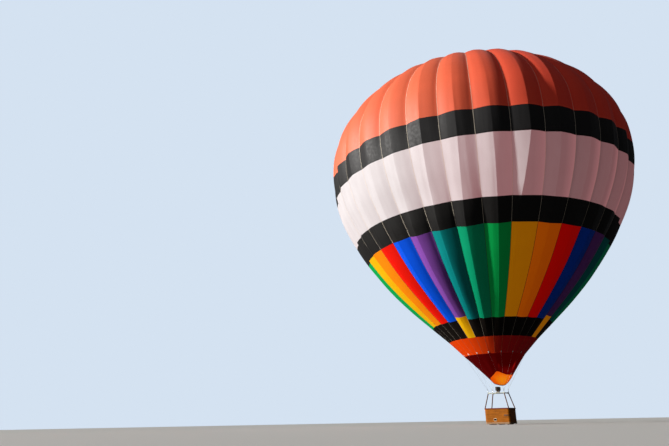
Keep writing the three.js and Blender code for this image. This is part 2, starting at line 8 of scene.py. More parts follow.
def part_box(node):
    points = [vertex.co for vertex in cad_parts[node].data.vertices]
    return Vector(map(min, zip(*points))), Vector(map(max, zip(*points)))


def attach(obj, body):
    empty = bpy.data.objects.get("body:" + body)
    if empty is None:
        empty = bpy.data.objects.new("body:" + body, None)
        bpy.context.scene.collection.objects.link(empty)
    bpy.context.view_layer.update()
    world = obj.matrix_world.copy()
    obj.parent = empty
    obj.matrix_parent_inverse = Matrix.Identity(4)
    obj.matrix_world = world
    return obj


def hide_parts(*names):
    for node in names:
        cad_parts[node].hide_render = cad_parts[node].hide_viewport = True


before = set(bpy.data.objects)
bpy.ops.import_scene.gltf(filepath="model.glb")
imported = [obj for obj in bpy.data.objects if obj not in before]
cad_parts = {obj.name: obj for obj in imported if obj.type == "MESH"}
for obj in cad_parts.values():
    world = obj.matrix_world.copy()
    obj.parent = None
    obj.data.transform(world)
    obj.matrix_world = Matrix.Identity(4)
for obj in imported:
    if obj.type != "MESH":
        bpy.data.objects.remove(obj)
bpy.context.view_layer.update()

bl_info = {
    "name": "Hot Air Balloon",
    "version": (1, 0, 0),
    "blender": (4, 5, 0),
    "location": "View3D > Sidebar > Balloon",
    "description": "Envelope, scoop, rigging, burner and basket of a hot air balloon",
    "category": "Object",
}

# Heights in this script are measured from the underside of the skids, in metres
SKID_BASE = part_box("skid_middle")[0][2]
# Turn of the basket and the rig, azimuth of the first seam, number of gores and columns of faces in each
BASKET_TURN = math.radians(-20)
SEAM_AZIMUTH = math.radians(12.64)
GORES = 32
COLUMNS_PER_GORE = 16

# Seam profile from the mouth to the vent: height, radius, share of the full lobe
PROFILE = np.array([
    (4.680, 2.090, 0.0),
    (5.730, 3.100, 0.8),
    (6.840, 4.200, 1.0),
    (8.430, 5.770, 1.0),
    (10.150, 7.300, 1.0),
    (12.000, 8.650, 1.0),
    (13.430, 9.550, 1.0),
    (15.230, 10.450, 1.0),
    (17.060, 11.010, 1.0),
    (18.730, 11.170, 1.0),
    (20.600, 11.020, 1.0),
    (22.280, 10.370, 1.0),
    (23.760, 9.330, 1.0),
    (25.090, 7.930, 1.0),
    (26.140, 6.370, 0.8),
    (26.910, 4.785, 0.5),
    (27.380, 3.200, 0.15),
    (27.470, 2.700, 0.0),
])
MOUTH, MOUTH_BAND_TOP, RAINBOW_BOTTOM, RAINBOW_TOP = 0, 1, 2, 5
WHITE_BOTTOM, WHITE_TOP, CROWN_BOTTOM, VALVE_LIP, VENT = 6, 8, 9, 16, 17

# Scoop: its lower edge by azimuth from the front in degrees, and the small ring that it narrows to
SCOOP_EDGE = np.array([
    (-100, 2.80), (-78, 2.99), (-58, 3.13), (-40, 3.22), (-22, 3.36), (-9, 3.52), (-3, 3.53), (12, 3.42),
    (28, 3.325), (56, 3.305), (86, 3.31), (108, 2.99), (143, 2.70), (180, 2.64), (219, 2.70),
])
SCOOP_RING = {"height": 2.70, "radius": 0.48, "x": 0.30, "y": 0.12, "waist": 0.15}
# How far the scoop lies inside the mouth, and the depth and number of its pleats
SCOOP_INSET, SCOOP_PLEAT, SCOOP_PLEATS = 0.002, 0.028, 16

# Corners of the basket and of the load frame: name, sign along the length, sign along the width
CORNERS = (("front_left", -1, -1), ("front_right", 1, -1), ("back_right", 1, 1), ("back_left", -1, 1))
# Azimuth in degrees where the quarter of the mouth begins that a corner's wires go to
WIRE_GROUP_START = {"front_left": -110, "front_right": -20, "back_right": 70, "back_left": 160}

# Load frame: half its length and width between the tubes' middles, its height and its tube
FRAME_X, FRAME_Y, FRAME_LEVEL, FRAME_TUBE = 0.58, 0.455, 2.1, 0.040

# Basket: outside length and width, radius of its corners, thickness, foot and top of its wall
LENGTH, WIDTH, CORNER, WALL = 1.80, 1.40, 0.16, 0.036
WALL_BOTTOM, WALL_TOP = 0.0656, 1.010


# Settings that a user would change

def colour(name, description, red, green, blue):
    return bpy.props.FloatVectorProperty(name=name, description=description, subtype="COLOR", size=4,
                                         default=(red, green, blue, 1.0), min=0.0, max=1.0)


def length(name, description, default, smallest, largest):
    return bpy.props.FloatProperty(name=name, description=description, default=default,
                                   min=smallest, max=largest, subtype="DISTANCE", unit="LENGTH")


def number(name, description, default, largest, subtype="NONE"):
    return bpy.props.FloatProperty(name=name, description=description, default=default,
                                   min=0.0, max=largest, subtype=subtype)


class BalloonEnvelopeSettings(bpy.types.PropertyGroup):
    lobe: number("Lobe", "How far a gore bulges, as a share of the radius", 0.020, 0.05, "FACTOR")
    fabric: length("Fabric", "Thickness of the fabric shell", 0.006, 0.001, 0.02)
    tape_width: length("Load tape width", "Width of the tape along each seam", 0.022, 0.01, 0.2)
    panel_height: length("Panel height", "Height of one sewn panel of a gore", 1.45, 0.3, 5.0)
    # Lit and shaded copies of the crown's orange: painted light, paler where it faces the sun, and painted
    # shade, deeper on the far side
    crown: colour("Crown", "Orange fabric of the crown, where it faces the sun", 0.78, 0.145, 0.062)
    crown_painted_shade: colour("Deep crown", "Orange fabric of the crown, on the far side", 0.82, 0.078, 0.034)
    black: colour("Black", "Black fabric of the upper band", 0.017, 0.016, 0.0165)
    # The middle and the lowest black are darker than the upper black: painted shade of the envelope's lower
    # bands
    middle_black: colour("Middle black", "Black fabric of the middle band", 0.0085, 0.0075, 0.0070)
    low_black_painted_shade: colour("Low black", "Black fabric of the lowest band", 0.008, 0.0055, 0.0040)
    white: colour("White", "White fabric of the wide band", 0.535, 0.560, 0.570)
    yellow: colour("Yellow", "Gore 1 of the rainbow", 0.74, 0.44, 0.002)
    orange: colour("Orange", "Gore 2 of the rainbow", 0.80, 0.24, 0.002)
    red: colour("Red", "Gore 3 of the rainbow", 0.78, 0.008, 0.001)
    blue: colour("Blue", "Gore 4 of the rainbow", 0.001, 0.096, 0.84)
    purple: colour("Purple", "Gore 5 of the rainbow", 0.235, 0.070, 0.40)
    teal: colour("Teal", "Gore 6 of the rainbow", 0.001, 0.235, 0.230)
    green: colour("Green", "Gore 7 of the rainbow", 0.001, 0.310, 0.145)
    light_green: colour("Light green", "Gore 8 of the rainbow", 0.001, 0.345, 0.070)
    patch: colour("Patch", "Yellow patch on the lower black band", 0.74, 0.46, 0.002)
    # Lit and shaded copies of the mouth's red-orange: painted light where it faces the sun, painted shade on
    # the far side
    mouth: colour("Mouth", "Heat-resistant fabric, where it faces the sun", 0.82, 0.058, 0.001)
    mouth_painted_shade: colour("Deep mouth", "Heat-resistant fabric, on the far side", 0.60, 0.016, 0.003)
    scoop: colour("Scoop outside", "Dark red fabric of the scoop", 0.045, 0.0006, 0.0008)
    scoop_inside: colour("Scoop inside", "Orange inside of the scoop", 0.80, 0.155, 0.008)
    # The yellower patch inside the scoop is painted sunlight, low on the side that faces the opening
    scoop_painted_sunlight: colour("Scoop inside, low", "Yellower patch of the scoop's inside", 0.86, 0.36, 0.012)
    tape: colour("Load tape", "Woven load tape of the black, white and crown bands", 0.66, 0.58, 0.46)
    tape_rainbow: colour("Rainbow tape", "Load tape of the rainbow gores", 0.045, 0.040, 0.035)
    tape_low: colour("Low tape", "Load tape of the lower black band", 0.24, 0.21, 0.17)
    tape_mouth: colour("Mouth tape", "Load tape of the heat-resistant band", 0.66, 0.10, 0.03)


class BalloonBasketSettings(bpy.types.PropertyGroup):
    stake_spacing: length("Stake spacing", "Distance between the upright canes", 0.060, 0.02, 0.2)
    weaver_height: length("Weaver height", "Height of one woven course", 0.026, 0.01, 0.1)
    cane_length: length("Cane length", "Length of one weaver before the next one joins", 0.85, 0.1, 3.0)
    cane: colour("Cane", "Varnished willow", 0.34, 0.100, 0.004)
    rim: colour("Rim leather", "Padded rim", 0.17, 0.036, 0.016)
    leather: colour("Cover leather", "Laced covers of the uprights", 0.115, 0.040, 0.020)
    hide: colour("Hide", "Hide round the foot of the basket", 0.30, 0.17, 0.085)
    timber: colour("Timber", "Floor and skids", 0.36, 0.20, 0.095)
    cylinder: colour("Cylinder", "Fuel cylinder metal", 0.62, 0.63, 0.64)
    jacket: colour("Jacket", "Padded jacket of a fuel cylinder", 0.030, 0.032, 0.036)


class BalloonBurnerSettings(bpy.types.PropertyGroup):
    coil_turns: bpy.props.IntProperty(name="Coil turns", description="Turns of the vaporiser coil",
                                      default=9, min=3, max=20)
    frame_paint: colour("Frame paint", "Light grey-green coat of the load frame", 0.56, 0.60, 0.49)
    steel: colour("Steel", "Brushed stainless steel", 0.55, 0.54, 0.52)
    burnt_steel: colour("Burnt steel", "Heat-stained steel of the cans", 0.11, 0.10, 0.10)
    brass: colour("Brass", "Valve bodies and fittings", 0.62, 0.42, 0.16)
    wire: colour("Wire", "Stranded wire", 0.26, 0.26, 0.26)


class BalloonStageSettings(bpy.types.PropertyGroup):
    floor: colour("Floor", "Plain pale floor", 0.72, 0.72, 0.70)
    backdrop: colour("Backdrop", "What the camera sees behind", 0.66, 0.76, 0.88)
    key_strength: number("Key light", "Strength of the low key light", 5.5, 20.0)
    key_softness: number("Key softness", "Angle that the key light covers", math.radians(3), 3.1, "ANGLE")
    fill_strength: number("Fill light", "Strength of the wide light in front", 0.50, 20.0)
    ambient: number("Ambient", "Strength of the light from all round", 0.046, 5.0)


# Small helpers for modelling

# Edges that turn by more than this, in degrees, stay sharp or get a bevel
EDGE_ANGLE = 35
# Points closer than this are one point
SAME_POINT = 1e-5


def clear_selection():
    bpy.ops.object.select_all(action="DESELECT")


def make_active(piece):
    clear_selection()
    piece.select_set(True)
    bpy.context.view_layer.objects.active = piece


def take(name):
    """Names the object that an operator has just made."""
    piece = bpy.context.object
    piece.name = piece.data.name = name
    return piece


def take_placed(name):
    """Names the object that an operator has just made and moves its place into its mesh."""
    piece = take(name)
    make_active(piece)
    bpy.ops.object.transform_apply(location=True, rotation=True, scale=True)
    return piece


def edit(piece, *steps):
    """Runs edit mode steps on the whole of a piece."""
    make_active(piece)
    bpy.ops.object.mode_set(mode="EDIT")
    bpy.ops.mesh.select_all(action="SELECT")
    for step in steps:
        step()
    bpy.ops.object.mode_set(mode="OBJECT")


def point_faces_out(piece):
    edit(piece, lambda: bpy.ops.mesh.normals_make_consistent(inside=False))


def close_ends(piece):
    """Fills the open ends of a tube and points its faces out."""
    edit(piece, lambda: bpy.ops.mesh.select_all(action="DESELECT"), bpy.ops.mesh.select_non_manifold,
         lambda: bpy.ops.mesh.fill_holes(sides=0))
    point_faces_out(piece)


def pick(piece, kind, test):
    """Selects the vertices or the faces of a piece that pass a test, and leaves it in edit mode."""
    make_active(piece)
    bpy.ops.object.mode_set(mode="EDIT")
    bpy.ops.mesh.select_mode(type=kind)
    bpy.ops.mesh.select_all(action="DESELECT")
    bpy.ops.object.mode_set(mode="OBJECT")
    for item in piece.data.polygons if kind == "FACE" else piece.data.vertices:
        item.select = bool(test(item))
    bpy.ops.object.mode_set(mode="EDIT")


def apply_modifier(piece, kind, **settings):
    make_active(piece)
    bpy.ops.object.modifier_add(type=kind)
    modifier = piece.modifiers[-1]
    for key, value in settings.items():
        setattr(modifier, key, value)
    bpy.ops.object.modifier_apply(modifier=modifier.name)


def join(name, pieces):
    clear_selection()
    for piece in pieces:
        piece.select_set(True)
    bpy.context.view_layer.objects.active = pieces[0]
    if len(pieces) > 1:
        bpy.ops.object.join()
    return take(name)


def smooth(piece, angle=EDGE_ANGLE):
    """Shades a piece smooth, but for edges that turn by more than the angle in degrees."""
    make_active(piece)
    bpy.ops.object.shade_smooth_by_angle(angle=math.radians(angle))


def smooth_all(piece):
    make_active(piece)
    bpy.ops.object.shade_smooth()


def bevel_edges(piece, width, segments=2):
    apply_modifier(piece, "BEVEL", width=width, segments=segments, limit_method="ANGLE",
                   angle_limit=math.radians(EDGE_ANGLE))


def settle(piece, body, slot, *finishes, stands_for=()):
    """Gives a finished piece its finishes and its body, and hides the nodes that it replaces. The slot is not
    used.
    """
    if finishes:
        piece.data.materials.clear()
        for finish in finishes:
            piece.data.materials.append(bpy.data.materials[finish])
    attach(piece, body)
    if stands_for:
        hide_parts(*stands_for)


def refinish(name, finish):
    """Gives a node that stays as it is a better finish."""
    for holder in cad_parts[name].material_slots:
        holder.material = bpy.data.materials[finish]


def turned(x, y, z):
    """A point of the frame, given along the basket's length and width and above the skids' underside."""
    cosine, sine = math.cos(BASKET_TURN), math.sin(BASKET_TURN)
    return Vector((x * cosine - y * sine, x * sine + y * cosine, z + SKID_BASE))


def set_on_carriage(piece):
    """Turns a piece that was modelled along the axes to the basket's direction and lifts it into place."""
    piece.data.transform(Matrix.Translation((0, 0, SKID_BASE)) @ Matrix.Rotation(BASKET_TURN, 4, "Z"))
    return piece


def bar(start, end, radius, sides=12):
    """A round bar between two points."""
    start, end = Vector(start), Vector(end)
    along = end - start
    clear_selection()
    bpy.ops.mesh.primitive_cylinder_add(vertices=sides, radius=radius, depth=along.length,
                                        end_fill_type="NGON", location=(start + end) / 2,
                                        rotation=along.to_track_quat("Z", "Y").to_euler())
    return take_placed("bar")


def block(size, centre, width=0.002, segments=2):
    """A box with softened edges."""
    clear_selection()
    bpy.ops.mesh.primitive_cube_add(size=1, location=centre, scale=size)
    piece = take_placed("block")
    bevel_edges(piece, width, segments)
    return piece


def ring(centre, major, minor, axis=(0, 0, 1), sides=(24, 8)):
    """A round ring; sides gives its steps round the axis and round its own section."""
    clear_selection()
    bpy.ops.mesh.primitive_torus_add(major_radius=major, minor_radius=minor, major_segments=sides[0],
                                     minor_segments=sides[1], location=centre,
                                     rotation=Vector(axis).to_track_quat("Z", "Y").to_euler())
    return take_placed("ring")


def strip(start, end, width, thickness, facing):
    """A flat bar between two points, with its wide side turned to a direction."""
    start, end = Vector(start), Vector(end)
    along = (end - start).normalized()
    side = along.cross(Vector(facing)).normalized()
    axes = Matrix((side, along, side.cross(along))).transposed()
    clear_selection()
    bpy.ops.mesh.primitive_cube_add(size=1, location=(start + end) / 2, rotation=axes.to_euler(),
                                    scale=(width, (end - start).length, thickness))
    return take_placed("strip")


def lathe(profile, centre, steps):
    """A closed turned body: the outline's points are extruded one from the other and spun round the axis."""
    clear_selection()
    bpy.ops.mesh.primitive_plane_add(size=1, location=(0, 0, 0))
    piece = take("lathe")
    bpy.ops.object.mode_set(mode="EDIT")
    bpy.ops.mesh.select_mode(type="VERT")
    bpy.ops.mesh.select_all(action="SELECT")
    bpy.ops.mesh.merge(type="CENTER")
    first = Vector((profile[0][0], 0, profile[0][1]))
    bpy.ops.transform.translate(value=first)
    for (r0, z0), (r1, z1) in zip(profile, profile[1:]):
        bpy.ops.mesh.extrude_vertices_move(TRANSFORM_OT_translate={"value": (r1 - r0, 0, z1 - z0)})
    bpy.ops.mesh.select_all(action="SELECT")
    bpy.ops.mesh.spin(steps=steps, angle=2 * math.pi, center=(0, 0, 0), axis=(0, 0, 1))
    bpy.ops.mesh.select_all(action="SELECT")
    bpy.ops.mesh.remove_doubles(threshold=SAME_POINT)
    bpy.ops.mesh.normals_make_consistent(inside=False)
    bpy.ops.object.mode_set(mode="OBJECT")
    piece.data.transform(Matrix.Translation(centre))
    return piece


def sheet_piece(name, columns, rows, surface, maps=None):
    """A grid primitive moved onto a surface that closes on itself round the object.

    surface takes two arrays from 0 to 1, round and up, and gives the points; maps names the UV maps and
    gives each its coordinates in the same way.
    """
    clear_selection()
    bpy.ops.mesh.primitive_grid_add(x_subdivisions=columns, y_subdivisions=rows, size=1, location=(0, 0, 0))
    piece = take(name)
    mesh = piece.data
    flat = np.empty(len(mesh.vertices) * 3)
    mesh.vertices.foreach_get("co", flat)
    around = np.clip(flat[0::3] + 0.5, 0, 1)
    up = np.clip(flat[1::3] + 0.5, 0, 1)
    corner = np.empty(len(mesh.loops), dtype=np.int32)
    mesh.loops.foreach_get("vertex_index", corner)
    while mesh.uv_layers:
        mesh.uv_layers.remove(mesh.uv_layers[0])
    for map_name, place in (maps or {}).items():
        layer = mesh.uv_layers.new(name=map_name)
        u, v = place(around, up)
        layer.data.foreach_set("uv", np.column_stack((u[corner], v[corner])).ravel())
    mesh.vertices.foreach_set("co", surface(around, up).ravel())
    mesh.update()
    edit(piece, lambda: bpy.ops.mesh.remove_doubles(threshold=SAME_POINT))
    return piece


def face_outwards(piece):
    """Turns the faces of an open ring away from the vertical axis."""
    faces = piece.data.polygons
    if sum(f.normal.x * f.center.x + f.normal.y * f.center.y for f in faces) < 0:
        edit(piece, bpy.ops.mesh.flip_normals)


# Shader groups and materials

CLEAR = (0.0, 0.0, 0.0, 1)

# Painted glow of each rainbow gore and of a patch, standing for light that comes through the cloth
GORE_GLOW = ((0.190, 0.048, 0.0, 1), (0.200, 0.026, 0.0, 1), (0.150, 0.0, 0.0, 1), (0.0, 0.0, 0.002, 1),
             (0.002, 0.0, 0.0, 1), (0.0, 0.002, 0.002, 1), (0.0, 0.020, 0.008, 1), (0.0, 0.035, 0.006, 1))
PATCH_GLOW = (0.190, 0.050, 0.0, 1)

# The gore of the rainbow's eight that carries the patches, and how far a patch rises into it
PATCH_GORE = 4
PATCH_RISE = 0.28

# Level direction from the envelope's axis to the side that faces the sun
SUNWARD = (-0.80, -0.60, 0.0)

# Painted shade across a gore of the far side: place across it, from seam to seam, and its share of the
# painted glow
PAINTED_GLOW_ACROSS_GORE = ((0.0, 0.68), (0.10, 0.93), (0.60, 1.10), (1.0, 1.75))


def feed(tree, made, **sockets):
    """Links or sets a node's sockets, each given by its name, or by its number as i0, i1 and so on."""
    for key, value in sockets.items():
        by_number = key[0] == "i" and key[1:].isdigit()
        socket = made.inputs[int(key[1:]) if by_number else key.replace("_", " ")]
        if isinstance(value, bpy.types.NodeSocket):
            tree.links.new(value, socket)
        else:
            socket.default_value = value
    return made


def node(tree, kind, settings=None, **sockets):
    """Adds a shader node with its settings and feeds its sockets."""
    made = tree.nodes.new("ShaderNode" + kind)
    for key, value in (settings or {}).items():
        setattr(made, key, value)
    return feed(tree, made, **sockets)


def sums(tree, operation, a, b=0.0, c=0.0):
    return node(tree, "Math", {"operation": operation}, i0=a, i1=b, i2=c).outputs[0]


def add_shares(tree, value, *parts):
    """A value with a share of each mask added to it."""
    for mask, share in parts:
        value = sums(tree, "ADD", value, sums(tree, "MULTIPLY", mask, share))
    return value


def remap(tree, value, low, high, start, end, eased=False):
    """A value carried from one range to another and held inside it."""
    settings = {"interpolation_type": "SMOOTHSTEP"} if eased else None
    return node(tree, "MapRange", settings, Value=value, i1=low, i2=high, i3=start, i4=end).outputs[0]


def noise(tree, place, scale, detail, roughness, distortion=0.0):
    return node(tree, "TexNoise", Vector=place, Scale=scale, Detail=detail, Roughness=roughness,
                Distortion=distortion).outputs[0]


def between(tree, share, first, second):
    """A colour between two others."""
    return node(tree, "Mix", {"data_type": "RGBA"}, i0=share, i6=first, i7=second).outputs[2]


def scaled(tree, tint, share):
    """A colour times a value."""
    return node(tree, "VectorMath", {"operation": "SCALE"}, i0=tint, Scale=share).outputs[0]


def map_axes(tree, name):
    """The two coordinates of one of a piece's own UV maps."""
    split = node(tree, "SeparateXYZ", Vector=node(tree, "UVMap", {"uv_map": name}).outputs[0]).outputs
    return split[0], split[1]


def colour_ramp(tree, factor, stops, interpolation="CONSTANT"):
    """Colours along a factor; each stop gives its position and its colour."""
    made = node(tree, "ValToRGB", Fac=factor)
    made.color_ramp.interpolation = interpolation
    elements = made.color_ramp.elements
    while len(elements) < len(stops):
        elements.new(0.5)
    for element, (position, tint) in zip(elements, stops):
        element.position, element.color = position, tint
    return made.outputs[0]


def new_group(name, inputs, outputs):
    """An empty shader group; the tables give each socket's name, type and, for an input, its default."""
    tree = bpy.data.node_groups.new(name, "ShaderNodeTree")
    for label, kind, default in inputs:
        socket = tree.interface.new_socket(label, in_out="INPUT", socket_type="NodeSocket" + kind)
        socket.default_value = default
    for label, kind in outputs:
        tree.interface.new_socket(label, in_out="OUTPUT", socket_type="NodeSocket" + kind)
    return tree, tree.nodes.new("NodeGroupInput").outputs, tree.nodes.new("NodeGroupOutput").inputs


def line_mask(tree, coordinate, spacing, width):
    """1 on thin lines that repeat with the spacing along a coordinate, 0 between them."""
    share = sums(tree, "FRACT", sums(tree, "DIVIDE", coordinate, spacing))
    away = sums(tree, "MULTIPLY", sums(tree, "ABSOLUTE", sums(tree, "SUBTRACT", share, 0.5)), spacing)
    return remap(tree, away, width * 0.4, width * 0.6, 1.0, 0.0, eased=True)


def make_cloth_group():
    """Coated ripstop: a fine square weave, felled panel seams with two rows of stitches, creases and patchy
    tone.
    """
    tree, given, out = new_group(
        "Ripstop cloth",
        [("Colour", "Color", (0.8, 0.8, 0.8, 1)), ("Panel height", "Float", 1.45), ("Crease", "Float", 0.02)],
        [("Colour", "Color"), ("Roughness", "Float"), ("Height", "Float")])
    thread_spacing, thread_width = 0.008, 0.002
    fell_flat, fell_edge = 0.006, 0.012
    stitch_spacing, stitch_length, stitch_half_width = 0.007, 0.004, 0.0015
    cloth = node(tree, "UVMap", {"uv_map": "cloth"}).outputs[0]
    across, along = node(tree, "SeparateXYZ", Vector=cloth).outputs[:2]
    threads = [line_mask(tree, axis, thread_spacing, thread_width) for axis in (across, along)]
    weave = sums(tree, "MAXIMUM", *threads)
    from_seam = sums(tree, "PINGPONG", along, sums(tree, "DIVIDE", given[1], 2.0))
    fell = remap(tree, from_seam, fell_flat, fell_edge, 1.0, 0.0)
    stitch_row = sums(tree, "COMPARE", from_seam, fell_flat, stitch_half_width)
    stitch = sums(tree, "MULTIPLY", stitch_row, line_mask(tree, across, stitch_spacing, stitch_length))
    stretched = node(tree, "Mapping", Vector=cloth, i3=(2.0, 0.16, 1.0)).outputs[0]
    crease = noise(tree, stretched, 1.5, 3.0, 0.5, 0.4)
    fine = noise(tree, cloth, 5.0, 3.0, 0.6)
    patchy = noise(tree, cloth, 0.55, 2.0, 0.5)
    # Patchy tone times painted shade from the creases: darker in their hollows, lighter on their crests
    tone = sums(tree, "MULTIPLY", remap(tree, patchy, 0.3, 0.7, 0.95, 1.04),
                remap(tree, crease, 0.25, 0.75, 0.96, 1.03))
    tone = add_shares(tree, tone, (fell, -0.07), (stitch, 0.25), (weave, -0.04))
    tree.links.new(scaled(tree, given[0], tone), out[0])
    tree.links.new(remap(tree, fine, 0.3, 0.7, 0.50, 0.64), out[1])
    height = sums(tree, "MULTIPLY", crease, given[2])
    tree.links.new(add_shares(tree, height, (fine, 0.0003), (fell, 0.0012), (weave, 0.00008)), out[2])


def make_wear_group():
    """Scratches, dirt and rubbed edges for paint, metal, timber, leather, webbing and cane."""
    tree, given, out = new_group(
        "Wear and dirt",
        [("Colour", "Color", (0.5, 0.5, 0.5, 1)), ("Worn colour", "Color", (0.7, 0.7, 0.7, 1)),
         ("Roughness", "Float", 0.5), ("Grain scale", "Float", 30.0), ("Wear", "Float", 0.3)],
        [("Colour", "Color"), ("Roughness", "Float"), ("Height", "Float")])
    place = node(tree, "TexCoord").outputs["Object"]
    grain = noise(tree, place, given[3], 5.0, 0.65)
    broad = noise(tree, place, 3.5, 3.0, 0.55)
    edge = remap(tree, node(tree, "NewGeometry").outputs["Pointiness"], 0.50, 0.56, 0.0, 1.0)
    rubbed = sums(tree, "MULTIPLY", edge, remap(tree, grain, 0.35, 0.6, 0.0, 1.0))
    spots = remap(tree, grain, 0.60, 0.72, 0.0, 0.5)
    amount = sums(tree, "MULTIPLY", sums(tree, "MAXIMUM", rubbed, spots), given[4])
    worn = between(tree, amount, given[0], given[1])
    tree.links.new(scaled(tree, worn, remap(tree, broad, 0.3, 0.7, 0.82, 1.12)), out[0])
    tree.links.new(sums(tree, "ADD", given[2], remap(tree, broad, 0.3, 0.7, -0.08, 0.10)), out[1])
    tree.links.new(sums(tree, "MULTIPLY", grain, 0.001), out[2])


def make_painted_side_group():
    """Painted light and shade: one colour on the envelope's far side and another towards the sun, mixed
    between two sunward shares.
    """
    tree, given, out = new_group(
        "Painted sunward side",
        [("Far colour", "Color", (0.2, 0.2, 0.2, 1)), ("Near colour", "Color", (0.8, 0.8, 0.8, 1)),
         ("Start", "Float", 0.0), ("End", "Float", 1.0)],
        [("Colour", "Color")])
    place = node(tree, "TexCoord").outputs["Object"]
    level = node(tree, "VectorMath", {"operation": "MULTIPLY"}, i0=place, i1=(1.0, 1.0, 0.0)).outputs[0]
    way = node(tree, "VectorMath", {"operation": "NORMALIZE"}, i0=level).outputs[0]
    sunward = node(tree, "VectorMath", {"operation": "DOT_PRODUCT"}, i0=way, i1=SUNWARD).outputs["Value"]
    amount = remap(tree, sunward, given[2], given[3], 0.0, 1.0, eased=True)
    tree.links.new(between(tree, amount, given[0], given[1]), out[0])


def make_spot_group():
    """One colour over a sheet and another in a soft spot, placed and sized in metres along the cloth."""
    tree, given, out = new_group(
        "Soft spot",
        [("Colour", "Color", (0.2, 0.2, 0.2, 1)), ("Spot colour", "Color", (0.8, 0.8, 0.8, 1)),
         ("Across", "Float", 0.0), ("Up", "Float", 0.0), ("Half width", "Float", 1.0),
         ("Half height", "Float", 1.0)],
        [("Colour", "Color")])
    along, rise = map_axes(tree, "cloth")
    aside = sums(tree, "DIVIDE", sums(tree, "SUBTRACT", along, given[2]), given[4])
    above = sums(tree, "DIVIDE", sums(tree, "SUBTRACT", rise, given[3]), given[5])
    way = node(tree, "CombineXYZ", X=aside, Y=above).outputs[0]
    away = node(tree, "VectorMath", {"operation": "LENGTH"}, i0=way).outputs["Value"]
    amount = remap(tree, away, 0.0, 1.0, 1.0, 0.0, eased=True)
    tree.links.new(between(tree, amount, given[0], given[1]), out[0])


def make_patch_group():
    """1 on the purple gores, which carry the patches, and 0 on the others."""
    tree, given, out = new_group("Patch gores", [("Gore", "Float", 0.0)], [("Mask", "Float")])
    turn = sums(tree, "FLOORED_MODULO", given[0], len(GORE_GLOW))
    mask = sums(tree, "MULTIPLY", sums(tree, "GREATER_THAN", turn, PATCH_GORE),
                sums(tree, "LESS_THAN", turn, PATCH_GORE + 1))
    tree.links.new(mask, out[0])


def make_height_group():
    """Height over a lowest level, as a share of a range."""
    tree, given, out = new_group("Height share", [("Lowest", "Float", 0.0), ("Range", "Float", 1.0)],
                                 [("Share", "Float")])
    place = node(tree, "TexCoord").outputs["Object"]
    height = sums(tree, "SUBTRACT", node(tree, "SeparateXYZ", Vector=place).outputs[2], given[0])
    tree.links.new(sums(tree, "DIVIDE", height, given[1]), out[0])


def new_material(name):
    material = bpy.data.materials.new(name)
    material.use_nodes = True
    return material.node_tree, material.node_tree.nodes["Principled BSDF"]


def use_group(tree, group, **sockets):
    """Places a shader group and gives its outputs."""
    placed = tree.nodes.new("ShaderNodeGroup")
    placed.node_tree = bpy.data.node_groups[group]
    return feed(tree, placed, **sockets).outputs


def relief(tree, shader, height, strength=1.0):
    bump = node(tree, "Bump", Strength=strength, Distance=1.0, Height=height)
    tree.links.new(bump.outputs[0], shader.inputs["Normal"])


def cloth_material(name, own, crease=0.008, glow=None, sheen=0.05, specular=0.2):
    """A coated fabric; its colour and its painted glow, which stands for light that comes through, are
    values, or functions of the tree.
    """
    tree, shader = new_material(name)
    settings = bpy.context.scene.balloon_envelope
    made = use_group(tree, "Ripstop cloth", Colour=own(tree) if callable(own) else own,
                     Panel_height=settings.panel_height, Crease=crease)
    feed(tree, shader, Base_Color=made[0], Roughness=made[1], Sheen_Weight=sheen, Sheen_Roughness=0.4,
         Specular_IOR_Level=specular, Emission_Strength=1.0 if glow else 0.0)
    if glow:
        feed(tree, shader, Emission_Color=glow(tree) if callable(glow) else glow)
    relief(tree, shader, made[2])


def hard_material(name, own, worn, roughness, metallic=0.0, grain=30.0, wear=0.4, bump=0.5, coat=0.0,
                  specular=0.3):
    """A finish that wears: paint, metal, timber, leather, webbing or rope."""
    tree, shader = new_material(name)
    made = use_group(tree, "Wear and dirt", Colour=own, Worn_colour=worn, Roughness=roughness,
                     Grain_scale=grain, Wear=wear)
    feed(tree, shader, Base_Color=made[0], Roughness=made[1], Metallic=metallic, Coat_Weight=coat,
         Specular_IOR_Level=specular)
    relief(tree, shader, made[2], bump)


def patch_gore(tree, gore):
    return use_group(tree, "Patch gores", Gore=gore)[0]


def by_gore(tree, values, patch):
    """Eight values, one to a gore, four times round; the purple gores end in the top of a yellow patch."""
    gore, rise = map_axes(tree, "gore")
    turn = sums(tree, "DIVIDE", sums(tree, "FLOORED_MODULO", gore, len(values)), len(values))
    own = colour_ramp(tree, turn, [(index / len(values), value) for index, value in enumerate(values)])
    low = sums(tree, "LESS_THAN", rise, arc_at(RAINBOW_BOTTOM) + PATCH_RISE)
    return between(tree, sums(tree, "MULTIPLY", low, patch_gore(tree, gore)), own, patch)


def rainbow_colour(tree):
    settings = bpy.context.scene.balloon_envelope
    return by_gore(tree, (settings.yellow, settings.orange, settings.red, settings.blue, settings.purple,
                          settings.teal, settings.green, settings.light_green), settings.patch)


def rainbow_glow(tree):
    return by_gore(tree, GORE_GLOW, PATCH_GLOW)


def patched(tree, around, patch):
    return between(tree, patch_gore(tree, map_axes(tree, "gore")[0]), around, patch)


def patched_black(tree):
    settings = bpy.context.scene.balloon_envelope
    return patched(tree, settings.low_black_painted_shade, settings.patch)


def patch_glow(tree):
    return patched(tree, CLEAR, PATCH_GLOW)


def by_height(tree, bands):
    """A colour that changes with the height on the envelope; each band gives its lowest profile row."""
    tallest = PROFILE[VENT][0] + 1.0
    share = use_group(tree, "Height share", Lowest=SKID_BASE, Range=tallest)[0]
    return colour_ramp(tree, share, [(PROFILE[row][0] / tallest, tint) for row, tint in bands])


